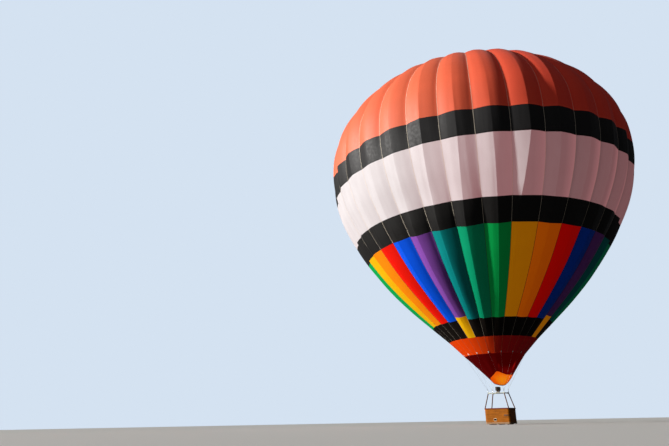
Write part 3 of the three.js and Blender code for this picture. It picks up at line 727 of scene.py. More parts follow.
# Black that is darker on the lower bands, as painted shade
def black_with_painted_shade(tree):
    settings = bpy.context.scene.balloon_envelope
    return by_height(tree, ((RAINBOW_TOP, settings.middle_black), (WHITE_TOP, settings.black)))


# Painted light and shade: a colour that changes with how far a place faces the sun's side
def painted_by_side(tree, far, near, start, end):
    return use_group(tree, "Painted sunward side", Far_colour=far, Near_colour=near, Start=start, End=end)[0]


# The crown's orange with painted light and shade: the lit copy towards the sun, the shaded copy on the far
# side
def crown_with_painted_shade(tree):
    settings = bpy.context.scene.balloon_envelope
    return painted_by_side(tree, settings.crown_painted_shade, settings.crown, 0.10, 0.90)


# The mouth's red-orange with painted light and shade: the lit copy towards the sun, the shaded copy on the
# far side
def mouth_with_painted_shade(tree):
    settings = bpy.context.scene.balloon_envelope
    return painted_by_side(tree, settings.mouth_painted_shade, settings.mouth, 0.30, 0.85)


def white_glow(tree):
    """Painted glow that stands for light coming through the white fabric: on the far side it grows across
    each gore up to the seam, as painted shading of each gore.
    """
    dim, bright = (0.153, 0.053, 0.057, 1), (0.240, 0.086, 0.092, 1)
    across = sums(tree, "FRACT", map_axes(tree, "gore")[0])
    stops = [(place, [share * value for value in dim]) for place, share in PAINTED_GLOW_ACROSS_GORE]
    far = painted_by_side(tree, colour_ramp(tree, across, stops, "LINEAR"), bright, 0.0, 0.62)
    return painted_by_side(tree, far, dim, 0.70, 0.97)


def spotted(tree, around, inside, across, up, wide, tall):
    return use_group(tree, "Soft spot", Colour=around, Spot_colour=inside, Across=across, Up=up,
                     Half_width=wide, Half_height=tall)[0]


def lining_with_painted_sunlight(tree, around, low):
    """One colour over the scoop's lining and a painted pool of sunlight low on the side that faces its
    opening.
    """
    return spotted(tree, around, low, 4.0, 0.45, 1.5, 0.75)


def lining_colour(tree):
    settings = bpy.context.scene.balloon_envelope
    return lining_with_painted_sunlight(tree, settings.scoop_inside, settings.scoop_painted_sunlight)


# Painted glow of the lining, standing for sunlight inside the scoop, brighter in the same painted patch
def lining_glow(tree):
    return lining_with_painted_sunlight(tree, (0.48, 0.070, 0.002, 1), (0.56, 0.20, 0.004, 1))


def scoop_glow(tree):
    """Painted glow that stands for sunlight from inside the scoop coming through its skin, most near the
    opening and along two folds.
    """
    near = spotted(tree, (0.040, 0.0, 0.0, 1), (0.125, 0.001, 0.001, 1), 0.85, 0.2, 1.3, 0.9)
    fold = spotted(tree, near, (0.12, 0.002, 0.001, 1), 0.10, 0.75, 0.10, 0.40)
    return spotted(tree, fold, (0.34, 0.006, 0.004, 1), 1.30, 0.9, 0.16, 0.65)


def webbing_material():
    """Woven load tape, dyed to suit the bands that it crosses; a painted glow, standing for light that comes
    through, lights it on the white band and the crown.
    """
    tree, shader = new_material("woven_tape")
    settings = bpy.context.scene.balloon_envelope
    tint = by_height(tree, ((MOUTH, settings.tape_mouth), (MOUTH_BAND_TOP, settings.tape_low),
                            (RAINBOW_BOTTOM, settings.tape_rainbow), (RAINBOW_TOP, settings.tape)))
    glow = by_height(tree, ((MOUTH, CLEAR), (WHITE_BOTTOM, (0.17, 0.075, 0.07, 1)),
                            (WHITE_TOP, (0.006, 0.006, 0.006, 1)), (CROWN_BOTTOM, (0.08, 0.008, 0.006, 1))))
    made = use_group(tree, "Wear and dirt", Colour=tint, Worn_colour=(0.5, 0.45, 0.36, 1), Roughness=0.8,
                     Grain_scale=160.0, Wear=0.1)
    feed(tree, shader, Base_Color=made[0], Roughness=made[1], Specular_IOR_Level=0.1, Emission_Color=glow,
         Emission_Strength=1.0)
    relief(tree, shader, made[2], 0.5)


def cane_material():
    """Varnished willow: long fibres along each cane, and every cane a slightly different brown."""
    tree, shader = new_material("varnished_cane")
    settings = bpy.context.scene.balloon_basket
    weave = node(tree, "UVMap", {"uv_map": "weave"}).outputs[0]
    around, up = node(tree, "SeparateXYZ", Vector=weave).outputs[:2]
    course = sums(tree, "FLOOR", sums(tree, "DIVIDE", up, settings.weaver_height))
    shift = node(tree, "TexWhiteNoise", {"noise_dimensions": "1D"}, W=course).outputs[0]
    cane = sums(tree, "FLOOR", sums(tree, "ADD", sums(tree, "DIVIDE", around, settings.cane_length), shift))
    own_place = node(tree, "CombineXYZ", X=course, Y=cane).outputs[0]
    own = node(tree, "TexWhiteNoise", {"noise_dimensions": "3D"}, Vector=own_place).outputs[0]
    stretched = node(tree, "Mapping", Vector=weave, i3=(6.0, 160.0, 1.0)).outputs[0]
    fibre = noise(tree, stretched, 1.0, 4.0, 0.6)
    tone = sums(tree, "MULTIPLY", remap(tree, own, 0.0, 1.0, 0.70, 1.25),
                remap(tree, fibre, 0.3, 0.7, 0.75, 1.2))
    made = use_group(tree, "Wear and dirt", Colour=settings.cane, Worn_colour=(0.30, 0.15, 0.03, 1),
                     Roughness=0.45, Grain_scale=9.0, Wear=0.4)
    feed(tree, shader, Base_Color=scaled(tree, made[0], tone), Roughness=made[1], Specular_IOR_Level=0.08)
    relief(tree, shader, sums(tree, "MULTIPLY", fibre, 0.0008), 0.6)


def make_materials():
    """All finishes, by the name that the pieces use."""
    envelope = bpy.context.scene.balloon_envelope
    basket = bpy.context.scene.balloon_basket
    burner = bpy.context.scene.balloon_burner
    make_cloth_group()
    make_wear_group()
    make_painted_side_group()
    make_spot_group()
    make_patch_group()
    make_height_group()
    pale = (0.62, 0.60, 0.56, 1)
    # Each glow below is painted glow that stands for light coming through the cloth; the crown and the mouth
    # have one even glow
    cloth_material("crown_cloth", crown_with_painted_shade, 0.006, (0.038, 0.0, 0.0, 1), 0.04, 0.45)
    cloth_material("black_cloth", black_with_painted_shade, 0.010, sheen=0.06, specular=0.25)
    cloth_material("patched_black_cloth", patched_black, 0.010, patch_glow, 0.0, 0.1)
    cloth_material("white_cloth", envelope.white, 0.008, white_glow)
    cloth_material("rainbow_cloth", rainbow_colour, 0.010, rainbow_glow, 0.0, 0.10)
    cloth_material("mouth_cloth", mouth_with_painted_shade, 0.006, (0.014, 0.0, 0.001, 1), 0.0, 0.03)
    cloth_material("scoop_cloth", envelope.scoop, 0.008, scoop_glow, 0.0, 0.03)
    cloth_material("scoop_lining", lining_colour, 0.008, lining_glow, 0.0, 0.05)
    webbing_material()
    hard_material("pale_webbing", (0.88, 0.82, 0.74, 1), pale, 0.75, grain=160.0, wear=0.1)
    hard_material("red_webbing", (0.20, 0.012, 0.004, 1), (0.30, 0.05, 0.02, 1), 0.75, grain=160.0, wear=0.1,
                  specular=0.1)
    hard_material("pale_hide", (0.70, 0.58, 0.42, 1), pale, 0.6, grain=80.0, wear=0.3)
    hard_material("wire_rope", burner.wire, pale, 0.45, 0.8, grain=220.0)
    hard_material("forged_steel", burner.steel, pale, 0.30, 0.95, grain=60.0)
    hard_material("frame_paint", burner.frame_paint, (0.50, 0.50, 0.47, 1), 0.42, 0.1, grain=25.0)
    hard_material("burnt_steel", burner.burnt_steel, (0.30, 0.20, 0.13, 1), 0.36, 0.9, grain=14.0, wear=0.8)
    hard_material("brass", burner.brass, (0.75, 0.58, 0.28, 1), 0.30, 0.95, grain=50.0)
    hard_material("red_leather", basket.rim, (0.28, 0.08, 0.035, 1), 0.6, grain=120.0, bump=0.8,
                  specular=0.08)
    hard_material("brown_leather", basket.leather, (0.27, 0.12, 0.06, 1), 0.55, grain=90.0, wear=0.7,
                  bump=0.8)
    hard_material("dark_leather", (0.045, 0.020, 0.014, 1), (0.20, 0.10, 0.06, 1), 0.5, grain=90.0, bump=0.8)
    hard_material("raw_hide", basket.hide, (0.42, 0.28, 0.16, 1), 0.65, grain=70.0, wear=0.7, bump=0.8)
    hard_material("oiled_timber", basket.timber, (0.45, 0.30, 0.17, 1), 0.55, grain=40.0, wear=0.6, coat=0.1)
    hard_material("cylinder_metal", basket.cylinder, pale, 0.36, 0.9, grain=45.0)
    hard_material("cylinder_jacket", basket.jacket, (0.09, 0.09, 0.09, 1), 0.8, grain=110.0, wear=0.5,
                  bump=1.0)
    hard_material("rope", (0.55, 0.47, 0.34, 1), (0.7, 0.62, 0.5, 1), 0.85, grain=180.0, bump=1.0)
    cane_material()


# Shape of the envelope

def along_profile(place):
    """Radius, height, outward normal and lobe share at places along the profile's rows."""
    last = len(PROFILE) - 1
    index = np.clip(np.floor(place).astype(int), 0, last - 1)
    weight = (place - index)[:, None]
    rows = [PROFILE[np.clip(index + shift, 0, last)] for shift in (-1, 0, 1, 2)]
    leave, arrive = (rows[2] - rows[0]) / 2, (rows[3] - rows[1]) / 2
    cubic = 2 * rows[1] - 2 * rows[2] + leave + arrive
    square = 3 * (rows[2] - rows[1]) - 2 * leave - arrive
    point = ((cubic * weight + square) * weight + leave) * weight + rows[1]
    slope = (3 * cubic * weight + 2 * square) * weight + leave
    size = np.hypot(slope[:, 0], slope[:, 1])
    lobe = rows[1][:, 2] * (1 - weight[:, 0]) + rows[2][:, 2] * weight[:, 0]
    return point[:, 1], point[:, 0], np.column_stack((slope[:, 0], -slope[:, 1])) / size[:, None], lobe


FINE_PLACES = np.linspace(0, len(PROFILE) - 1, 1701)
FINE_RADIUS, FINE_HEIGHT, _, _ = along_profile(FINE_PLACES)
FINE_ARC = np.concatenate(([0.0], np.cumsum(np.hypot(np.diff(FINE_RADIUS), np.diff(FINE_HEIGHT)))))
# Gap at each end of a band, and the height of its rows of faces
PANEL_GAP, FABRIC_ROW = 0.0004, 0.24


def arc_at(place):
    """Length along the profile from the mouth to a place on its rows."""
    return np.interp(place, FINE_PLACES, FINE_ARC)


def place_at(arc):
    return np.interp(arc, FINE_ARC, FINE_PLACES)


chance = np.random.RandomState(11)
# Where each gore folds into two flat halves, as a share of its width, at the top and at the bottom of the
# white band
RIDGE_TOP = 0.42 + 0.08 * chance.rand(GORES)
RIDGE_BOTTOM = RIDGE_TOP - 0.05 * chance.rand(GORES)
# Gores whose fold has a place of its own: gore, share at the top, share at the bottom
OWN_RIDGES = ((0, 0.52, 0.27), (31, 0.48, 0.50), (30, 0.50, 0.41), (29, 0.47, 0.41), (28, 0.44, 0.43))
for gore, top, bottom in OWN_RIDGES:
    RIDGE_TOP[gore], RIDGE_BOTTOM[gore] = top, bottom
# How far this fold wanders along the gore, as a share of the gore's width
RIDGE_DRIFT = 0.03 * (chance.rand(GORES) - 0.5)
# Where the right half of each gore folds again, how far that fold wanders, and how fast both do, per metre
SECOND_PLACE = 0.70 + 0.10 * chance.rand(GORES)
SECOND_DRIFT, DRIFT_PER_METRE = 0.03, 0.55
# How much the second fold stands above the straight line from the first one to the tape
SECOND_RISE = 0.10 * (chance.rand(GORES) - 0.35)
FOLD_PHASE = 2 * math.pi * chance.rand(GORES, 3)
FOLD_DRIFT = 0.25 * (chance.rand(GORES, 3) - 0.5)
# Small waves: how many across a gore, and their size as a share of the gore's width
FOLDS = ((2.6, 0.0028), (4.1, 0.0024), (6.7, 0.0010))
# The crease is rounded over this share of a gore to each side
CREASE_HALF = 0.012
# Largest share of a gore that lies flat under each tape
FLAT_LARGEST = 0.2
# Across one gore: column and where it lies; a crease always falls on a column
RIDGE_COLUMN, SECOND_COLUMN = 8, 12
# How strongly the gores bulge and how flat their halves are, by profile row
BULGE_BY_ROW = ((0, 0.0), (1, 0.25), (2, 0.9), (3, 1.35), (5, 1.4), (6, 1.1), (8, 1.1), (9, 1.15), (11, 1.15),
                (13, 1.0), (15, 0.55), (16, 0.2), (17, 0.0))
# Gores that bulge otherwise than the rest: gore, share below the white band, share in it
SINGLE_GORES = ((24, 1.0, 0.8), (25, 1.0, 0.75), (26, 1.0, 0.7), (27, 1.0, 0.65), (28, 1.4, 0.6),
                (29, 1.25, 0.65), (30, 1.25, 0.8), (31, 1.0, 0.85), (0, 0.25, 1.15))
SHARE_BELOW, SHARE_IN_WHITE = np.ones(GORES), np.ones(GORES)
for gore, below, in_white in SINGLE_GORES:
    SHARE_BELOW[gore], SHARE_IN_WHITE[gore] = below, in_white
# The gore whose waves are small, so that its fold in the white band stays sharp, and the share that is left
CALM_GORE, CALM_SHARE = 0, 0.25
# How far the gores at the mouth are pulled flat between the tapes, by profile row
CHORD_BY_ROW = ((0, 1.0), (1, 1.0), (2, 0.0))
FLAT_BY_ROW = ((0, 0.6), (3, 0.5), (5, 0.6), (7, 0.9), (8, 0.85), (9, 0.60), (10, 0.35), (12, 0.15),
               (17, 0.1))


def by_row(table, place):
    rows = np.array(table)
    return np.interp(place, rows[:, 0], rows[:, 1])


def gore_places(around, place, tape_width):
    """Gore number, share across it, its width and flat edge, its profile, and where its two creases lie."""
    radius, height, normal, lobe = along_profile(place)
    width = 2 * math.pi * radius / GORES
    gore = np.minimum(np.floor(around * GORES + 1e-9), GORES - 1)
    index = gore.astype(int)
    column = (around * GORES - gore) * COLUMNS_PER_GORE
    flat = np.minimum(tape_width / 2 / width, FLAT_LARGEST)
    arc = arc_at(place)
    fallen = np.clip((WHITE_TOP - place) / (WHITE_TOP - WHITE_BOTTOM), 0, 1.3)
    ridge = RIDGE_TOP[index] + (RIDGE_BOTTOM[index] - RIDGE_TOP[index]) * fallen
    ridge = ridge + RIDGE_DRIFT[index] * np.sin(arc * DRIFT_PER_METRE + FOLD_PHASE[index, 0])
    second = SECOND_PLACE[index] + SECOND_DRIFT * np.sin(arc * DRIFT_PER_METRE + FOLD_PHASE[index, 1])
    marks = ((0, 0 * flat), (1, flat), (RIDGE_COLUMN - 1, ridge - CREASE_HALF), (RIDGE_COLUMN, ridge),
             (RIDGE_COLUMN + 1, ridge + CREASE_HALF), (SECOND_COLUMN, second),
             (COLUMNS_PER_GORE - 1, 1 - flat), (COLUMNS_PER_GORE, 1 + 0 * flat))
    across = np.zeros_like(column)
    for (left, here), (right, there) in zip(marks, marks[1:]):
        pick = (column >= left - 1e-6) & (column <= right + 1e-6)
        step = (column - left) / (right - left)
        across = np.where(pick, here + (there - here) * step, across)
    return index, across, width, flat, (radius, height, normal, lobe), (ridge, second)


def envelope_points(around, place, tape_width, lobe_share):
    """Points of the fabric, bulged between the load tapes and creased along them."""
    index, across, width, flat, profile, creases = gore_places(around, place, tape_width)
    radius, height, normal, lobe = profile
    ridge, second = creases
    arc = arc_at(place)
    level = (1 - second) / (1 - ridge) + SECOND_RISE[index]
    tent = np.where(across < ridge, (across - flat) / (ridge - flat),
                    np.where(across < second, 1 - (1 - level) * (across - ridge) / (second - ridge),
                             level * (1 - flat - across) / (1 - flat - second))).clip(0, 1)
    free = np.clip((across - flat) / (1 - 2 * flat), 0, 1)
    arched = (4 * free * (1 - free)) ** 0.8
    angular = by_row(FLAT_BY_ROW, place)
    below = np.clip(WHITE_BOTTOM + 0.4 - place, 0, 1)
    in_white = (1 - below) * np.clip(CROWN_BOTTOM - place, 0, 1)
    own = 1 + (SHARE_BELOW[index] - 1) * below + (SHARE_IN_WHITE[index] - 1) * in_white
    strength = by_row(BULGE_BY_ROW, place) * own
    bulge = lobe_share * strength * radius * (arched * (1 - angular) + tent * angular)
    fold = np.zeros_like(bulge)
    for number, (waves, size) in enumerate(FOLDS):
        phase = FOLD_PHASE[index, number] + FOLD_DRIFT[index, number] * arc
        fold += size * np.sin(2 * math.pi * waves * free + phase)
    bulge += fold * width * np.sin(math.pi * free) * lobe * np.where(index == CALM_GORE, CALM_SHARE, 1)
    out = radius + bulge * normal[:, 0].clip(0.2, 1)
    chord = math.cos(math.pi / GORES) / np.cos((across - 0.5) * 2 * math.pi / GORES)
    out = out * (1 - by_row(CHORD_BY_ROW, place) * (1 - chord))
    azimuth = SEAM_AZIMUTH + 2 * math.pi * (index + across) / GORES
    up = height + bulge * normal[:, 1]
    return np.column_stack((out * np.sin(azimuth), -out * np.cos(azimuth), up + SKID_BASE))


def fabric_band(name, low, high):
    """One ring of gores between two places on the profile."""
    settings = bpy.context.scene.balloon_envelope
    start, stop = arc_at(low) + PANEL_GAP, arc_at(high) - PANEL_GAP
    rows = max(4, round((stop - start) / FABRIC_ROW))

    def place_of(up):
        return place_at(start + (stop - start) * up)

    def surface(around, up):
        return envelope_points(around, place_of(up), settings.tape_width, settings.lobe)

    def gore_map(around, up):
        gore, across = gore_places(around, place_of(up), settings.tape_width)[:2]
        return gore + across, start + (stop - start) * up

    def cloth_map(around, up):
        _, across, width = gore_places(around, place_of(up), settings.tape_width)[:3]
        return (across - 0.5) * width, start + (stop - start) * up

    piece = sheet_piece(name, GORES * COLUMNS_PER_GORE, rows, surface, {"gore": gore_map, "cloth": cloth_map})
    fix_gore_edges(piece)
    face_outwards(piece)
    apply_modifier(piece, "SOLIDIFY", thickness=settings.fabric, offset=-1, use_even_offset=False)
    smooth(piece, 40)
    return piece


def fix_gore_edges(piece):
    """On the last column of a gore the maps belong to that gore and not to the next one."""
    layers = piece.data.uv_layers
    maps = {}
    for name in ("gore", "cloth"):
        flat = np.empty(len(piece.data.loops) * 2)
        layers[name].data.foreach_get("uv", flat)
        maps[name] = flat.reshape(-1, 4, 2)
    gore, cloth = maps["gore"][:, :, 0], maps["cloth"][:, :, 0]
    gore_start, gore_end, close = 0.0001, 0.9999, 1e-6
    lowest = gore.min(axis=1, keepdims=True)
    last_column = (gore.max(axis=1, keepdims=True) - lowest) > 0
    on_edge = np.isclose(gore, np.round(gore), atol=close)
    belongs = np.floor(lowest + close)
    wrong = on_edge & (np.round(gore) > belongs) & last_column
    cloth[:] = np.where(wrong, np.abs(cloth), cloth)
    gore[:] = np.where(wrong, belongs + gore_end, np.where(on_edge, belongs + gore_start, gore))
    for name, corners in maps.items():
        layers[name].data.foreach_set("uv", corners.ravel())


# Operators, one for each piece or group of like pieces

class BalloonOperator:
    bl_options = {"REGISTER", "UNDO"}


class MESH_OT_balloon_materials(BalloonOperator, bpy.types.Operator):
    """Makes the finishes that the pieces share"""
    bl_idname = "mesh.balloon_materials"
    bl_label = "Finishes"

    def execute(self, context):
        make_materials()
        return {"FINISHED"}


class MESH_OT_balloon_envelope(BalloonOperator, bpy.types.Operator):
    """Sews the envelope's bands from gores"""
    bl_idname = "mesh.balloon_envelope"
    bl_label = "Envelope bands"

    def execute(self, context):
        bands = (
            ("mouth_panels", MOUTH, MOUTH_BAND_TOP, "mouth_fabric", "mouth_cloth", ["mouth_band"]),
            ("lower_black_panels", MOUTH_BAND_TOP, RAINBOW_BOTTOM, "black_fabric", "patched_black_cloth",
             ["lower_black_band"]),
            ("rainbow_panels", RAINBOW_BOTTOM, RAINBOW_TOP, "rainbow_fabric", "rainbow_cloth",
             ["lower_rainbow_band", "upper_rainbow_band"]),
            ("middle_black_panels", RAINBOW_TOP, WHITE_BOTTOM, "black_fabric", "black_cloth",
             ["middle_black_band"]),
            ("white_panels", WHITE_BOTTOM, WHITE_TOP, "white_fabric", "white_cloth",
             ["lower_white_band", "upper_white_band"]),
            ("upper_black_panels", WHITE_TOP, CROWN_BOTTOM, "black_fabric", "black_cloth",
             ["upper_black_band"]),
            ("crown_panels", CROWN_BOTTOM, VENT, "crown_fabric", "crown_cloth",
             ["lower_crown", "middle_crown", "high_crown", "upper_crown", "vent_collar"]),
        )
        for name, low, high, slot, finish, nodes in bands:
            settle(fabric_band(name, low, high), "root", slot, finish, stands_for=nodes)
        return {"FINISHED"}


class MESH_OT_balloon_load_tapes(BalloonOperator, bpy.types.Operator):
    """Lays the load tapes along the seams, from the mouth to the vent"""
    bl_idname = "mesh.balloon_load_tapes"
    bl_label = "Load tapes"

    def execute(self, context):
        settings = context.scene.balloon_envelope
        steps, thickness, lift, width = 110, 0.004, 0.0015, settings.tape_width * 0.96
        arc = np.linspace(0.01, FINE_ARC[-1] - 0.02, steps + 1)
        radius, height, normal, _ = along_profile(place_at(arc))
        tapes = []
        for seam in range(GORES):
            azimuth = SEAM_AZIMUTH + 2 * math.pi * seam / GORES
            out = np.array((math.sin(azimuth), -math.cos(azimuth)))
            side = np.array((math.cos(azimuth), math.sin(azimuth)))

            def surface(around, up):
                step = np.round(up * steps).astype(int)
                reach = (radius[step] + lift * normal[step, 0])[:, None]
                across = ((around - 0.5) * width)[:, None]
                level = height[step] + lift * normal[step, 1] + SKID_BASE
                return np.column_stack((reach * out + across * side, level))

            tape = sheet_piece("load_tape", 2, steps, surface)
            face_outwards(tape)
            tapes.append(tape)
        piece = join("load_tapes", tapes)
        apply_modifier(piece, "SOLIDIFY", thickness=thickness, offset=1)
        settle(piece, "root", "tape_webbing", "woven_tape")
        return {"FINISHED"}


class MESH_OT_balloon_valve(BalloonOperator, bpy.types.Operator):
    """Makes the parachute valve, the round cloth that closes the vent"""
    bl_idname = "mesh.balloon_valve"
    bl_label = "Parachute valve"

    def execute(self, context):
        lip_height, lip_radius = PROFILE[VALVE_LIP][:2]
        edge_height, edge_radius = PROFILE[VENT][:2]
        rise, drop, puff_height, gores, thickness = 0.21, 0.0112, 0.035, 16, 0.006

        def surface(around, up):
            azimuth = SEAM_AZIMUTH + 2 * math.pi * around
            reach = up * lip_radius
            cone = edge_height + rise * (1 - reach / edge_radius)
            past_edge = (reach - edge_radius) / (lip_radius - edge_radius)
            level = np.where(reach < edge_radius, cone, edge_height + (lip_height - edge_height) * past_edge)
            inside = np.sin(math.pi * np.clip(reach / edge_radius, 0, 1)) ** 0.7
            level = level + puff_height * np.sin(math.pi * (around * gores % 1.0)) * inside - drop
            return np.column_stack((reach * np.sin(azimuth), -reach * np.cos(azimuth), level + SKID_BASE))

        def cloth_map(around, up):
            azimuth = 2 * math.pi * around
            return up * lip_radius * np.sin(azimuth), up * lip_radius * np.cos(azimuth)

        piece = sheet_piece("valve_cloth", gores * 6, 22, surface, {"cloth": cloth_map})
        if sum(f.normal.z for f in piece.data.polygons) < 0:
            edit(piece, bpy.ops.mesh.flip_normals)
        apply_modifier(piece, "SOLIDIFY", thickness=thickness, offset=-1)
        smooth_all(piece)
        settle(piece, "valve", "crown_fabric", "crown_cloth", stands_for=["parachute_valve"])
        return {"FINISHED"}


def scoop_edge(azimuth):
    """Height of the scoop's lower edge at azimuths in degrees: a smooth closed curve through the table."""
    start = SCOOP_EDGE[0][0]
    turned_to = (azimuth - start) % 360 + start
    count = len(SCOOP_EDGE)
    numbers = np.arange(-1, count + 2)
    places = SCOOP_EDGE[numbers % count, 0] + 360 * (numbers // count)
    heights = SCOOP_EDGE[numbers % count, 1]
    index = np.clip(np.searchsorted(places, turned_to, side="right") - 1, 1, count)
    span = places[index + 1] - places[index]
    t = (turned_to - places[index]) / span
    leave = (heights[index + 1] - heights[index - 1]) / (places[index + 1] - places[index - 1]) * span
    after = np.minimum(index + 2, len(places) - 1)
    arrive = (heights[after] - heights[index]) / (places[after] - places[index]) * span
    return ((2 * t ** 3 - 3 * t ** 2 + 1) * heights[index] + (t ** 3 - 2 * t ** 2 + t) * leave
            + (3 * t ** 2 - 2 * t ** 3) * heights[index + 1] + (t ** 3 - t ** 2) * arrive)


def scoop_points(azimuth, row):
    """Points of the scoop at azimuths in degrees, from the mouth (row 0) to its lower edge (row 1)."""
    top, wide = PROFILE[MOUTH][:2]
    level = top + (scoop_edge(azimuth) - top) * row
    share = (top - level) / (top - SCOOP_RING["height"])
    narrowing = share + SCOOP_RING["waist"] * share * (1 - share)
    radius = wide + (SCOOP_RING["radius"] - wide) * narrowing - SCOOP_INSET
    angle = np.radians(azimuth)
    pleats = np.sin(SCOOP_PLEATS * (angle - SEAM_AZIMUTH) - math.pi / 2)
    radius = radius + SCOOP_PLEAT * np.sin(math.pi * row) * pleats
    return np.column_stack((SCOOP_RING["x"] * share + radius * np.sin(angle),
                            SCOOP_RING["y"] * share - radius * np.cos(angle), level + SKID_BASE))


class MESH_OT_balloon_scoop(BalloonOperator, bpy.types.Operator):
    """Hangs the scoop under the mouth, dark red outside and orange inside"""
    bl_idname = "mesh.balloon_scoop"
    bl_label = "Scoop"

    def execute(self, context):
        columns, rows = 256, 26
        map_width, map_height = 8.5, 2.2
        hem_out, hem_tall, hem_lift = 0.006, 0.022, 0.016

        def surface(around, up):
            return scoop_points(around * 360, 1 - up)

        def cloth_map(around, up):
            return around * map_width, up * map_height

        piece = sheet_piece("scoop_cloth", columns, rows, surface, {"cloth": cloth_map})
        face_outwards(piece)
        for finish in ("scoop_cloth", "scoop_lining"):
            piece.data.materials.append(bpy.data.materials[finish])
        apply_modifier(piece, "SOLIDIFY", thickness=0.005, offset=-1, material_offset=1,
                       material_offset_rim=0)
        smooth_all(piece)
        settle(piece, "root", "scoop_fabric", stands_for=["scoop"])

        def hem_surface(around, up):
            edge = scoop_points(around * 360, np.ones_like(around))
            angle = 2 * math.pi * up
            reach = np.hypot(edge[:, 0], edge[:, 1])
            out = edge[:, :2] / reach[:, None] * (hem_out * np.cos(angle))[:, None]
            return edge + np.column_stack((out, hem_tall * np.sin(angle) + hem_lift))

        hem = sheet_piece("scoop_hem", columns, 8, hem_surface)
        point_faces_out(hem)
        smooth(hem, 60)
        settle(hem, "root", "tape_webbing", "red_webbing")
        return {"FINISHED"}


def flying_wire(foot, head):
    """A wire rope between two eyes, with its two ferrules and the thimble of each eye."""
    along = (head - foot).normalized()
    level = along.cross((0, 0, 1))
    rope, ferrule, sides = 0.0022, 0.0060, (20, 6)
    return [bar(foot + along * 0.040, head - along * 0.045, rope, 8),
            bar(foot + along * 0.036, foot + along * 0.085, ferrule, 10),
            bar(head - along * 0.095, head - along * 0.042, ferrule, 10),
            ring(foot + along * 0.018, 0.016, 0.0035, level, sides),
            ring(head - along * 0.022, 0.022, 0.0045, level, sides)]


def tape_loop(head, out):
    """The doubled tape on the mouth band that a wire's upper eye hangs in."""
    up = (out * 0.68 + Vector((0, 0, 0.73))).normalized()
    outward = (out * 0.73 - Vector((0, 0, 0.68))).normalized()
    width, thickness = 0.060, 0.006
    # Lower end, how far it stands out, upper end, how far that stands out
    layers = ((-0.030, 0.006, 0.09, -0.003), (-0.034, -0.002, 0.02, -0.014))
    return [strip(head + up * low + outward * low_out, head + up * high + outward * high_out, width,
                  thickness, outward) for low, low_out, high, high_out in layers]


class MESH_OT_balloon_wires(BalloonOperator, bpy.types.Operator):
    """Runs the flying wires from the load frame's corners to loops of tape at the mouth"""
    bl_idname = "mesh.balloon_wires"
    bl_label = "Flying wires"

    def execute(self, context):
        head_height, eye_height, off_seam = 4.74, 2.2995, 0.014
        (low, low_radius, _), (high, high_radius, _) = PROFILE[MOUTH], PROFILE[MOUTH_BAND_TOP]
        share = (head_height - low) / (high - low)
        head_radius = low_radius + (high_radius - low_radius) * share + off_seam
        wires = GORES // 2
        seams = [(math.degrees(SEAM_AZIMUTH) + i * 360 / wires) % 360 for i in range(wires)]
        for name, x, y in CORNERS:
            foot = turned(x * FRAME_X, y * FRAME_Y, eye_height)
            parts, loops = [], []
            for azimuth in [a for a in seams if (a - WIRE_GROUP_START[name]) % 360 < 90]:
                out = Vector((math.sin(math.radians(azimuth)), -math.cos(math.radians(azimuth)), 0))
                head = out * head_radius + Vector((0, 0, head_height + SKID_BASE))
                parts += flying_wire(foot, head)
                loops += tape_loop(head, out)
            piece = join("wires_" + name, parts)
            smooth(piece)
            settle(piece, "root", "wire_steel", "wire_rope", stands_for=["flying_wires_" + name])
            settle(join("tape_loops_" + name, loops), "root", "tape_webbing", "pale_webbing")
        return {"FINISHED"}


class MESH_OT_balloon_karabiners(BalloonOperator, bpy.types.Operator):
    """Makes the four screw-gate links that hang in the load frame's lugs, each with a ring for its wires"""
    bl_idname = "mesh.balloon_karabiners"
    bl_label = "Karabiners"

    def execute(self, context):
        bottom, bend, steel, stretch = 2.1595, 0.022, 0.0055, 0.074
        sleeve_bottom, sleeve_top, sleeve_radius, gather_height = 0.016, 0.058, 0.0092, 0.106
        for name, x, y in CORNERS:
            left, middle, level = x * FRAME_X, y * FRAME_Y, bottom + bend
            clear_selection()
            bpy.ops.mesh.primitive_torus_add(major_radius=bend, minor_radius=steel, major_segments=32,
                                             minor_segments=12, rotation=(0, math.radians(90), 0),
                                             location=(left, middle, level))
            link = take_placed("link")
            pick(link, "VERT", lambda vertex: vertex.co.z > level + 0.0001)
            bpy.ops.transform.translate(value=(0, 0, stretch))
            bpy.ops.object.mode_set(mode="OBJECT")
            gate = middle + y * bend
            sleeve = bar((left, gate, level + sleeve_bottom), (left, gate, level + sleeve_top),
                         sleeve_radius, 18)
            bevel_edges(sleeve, 0.0012)
            gather = ring((left, middle, level + gather_height), 0.020, 0.0045, (0, 1, 0), (28, 10))
            piece = set_on_carriage(join("screw_link_" + name, [link, sleeve, gather]))
            smooth(piece)
            settle(piece, "root", "wire_steel", "forged_steel", stands_for=["karabiner_" + name])
        return {"FINISHED"}


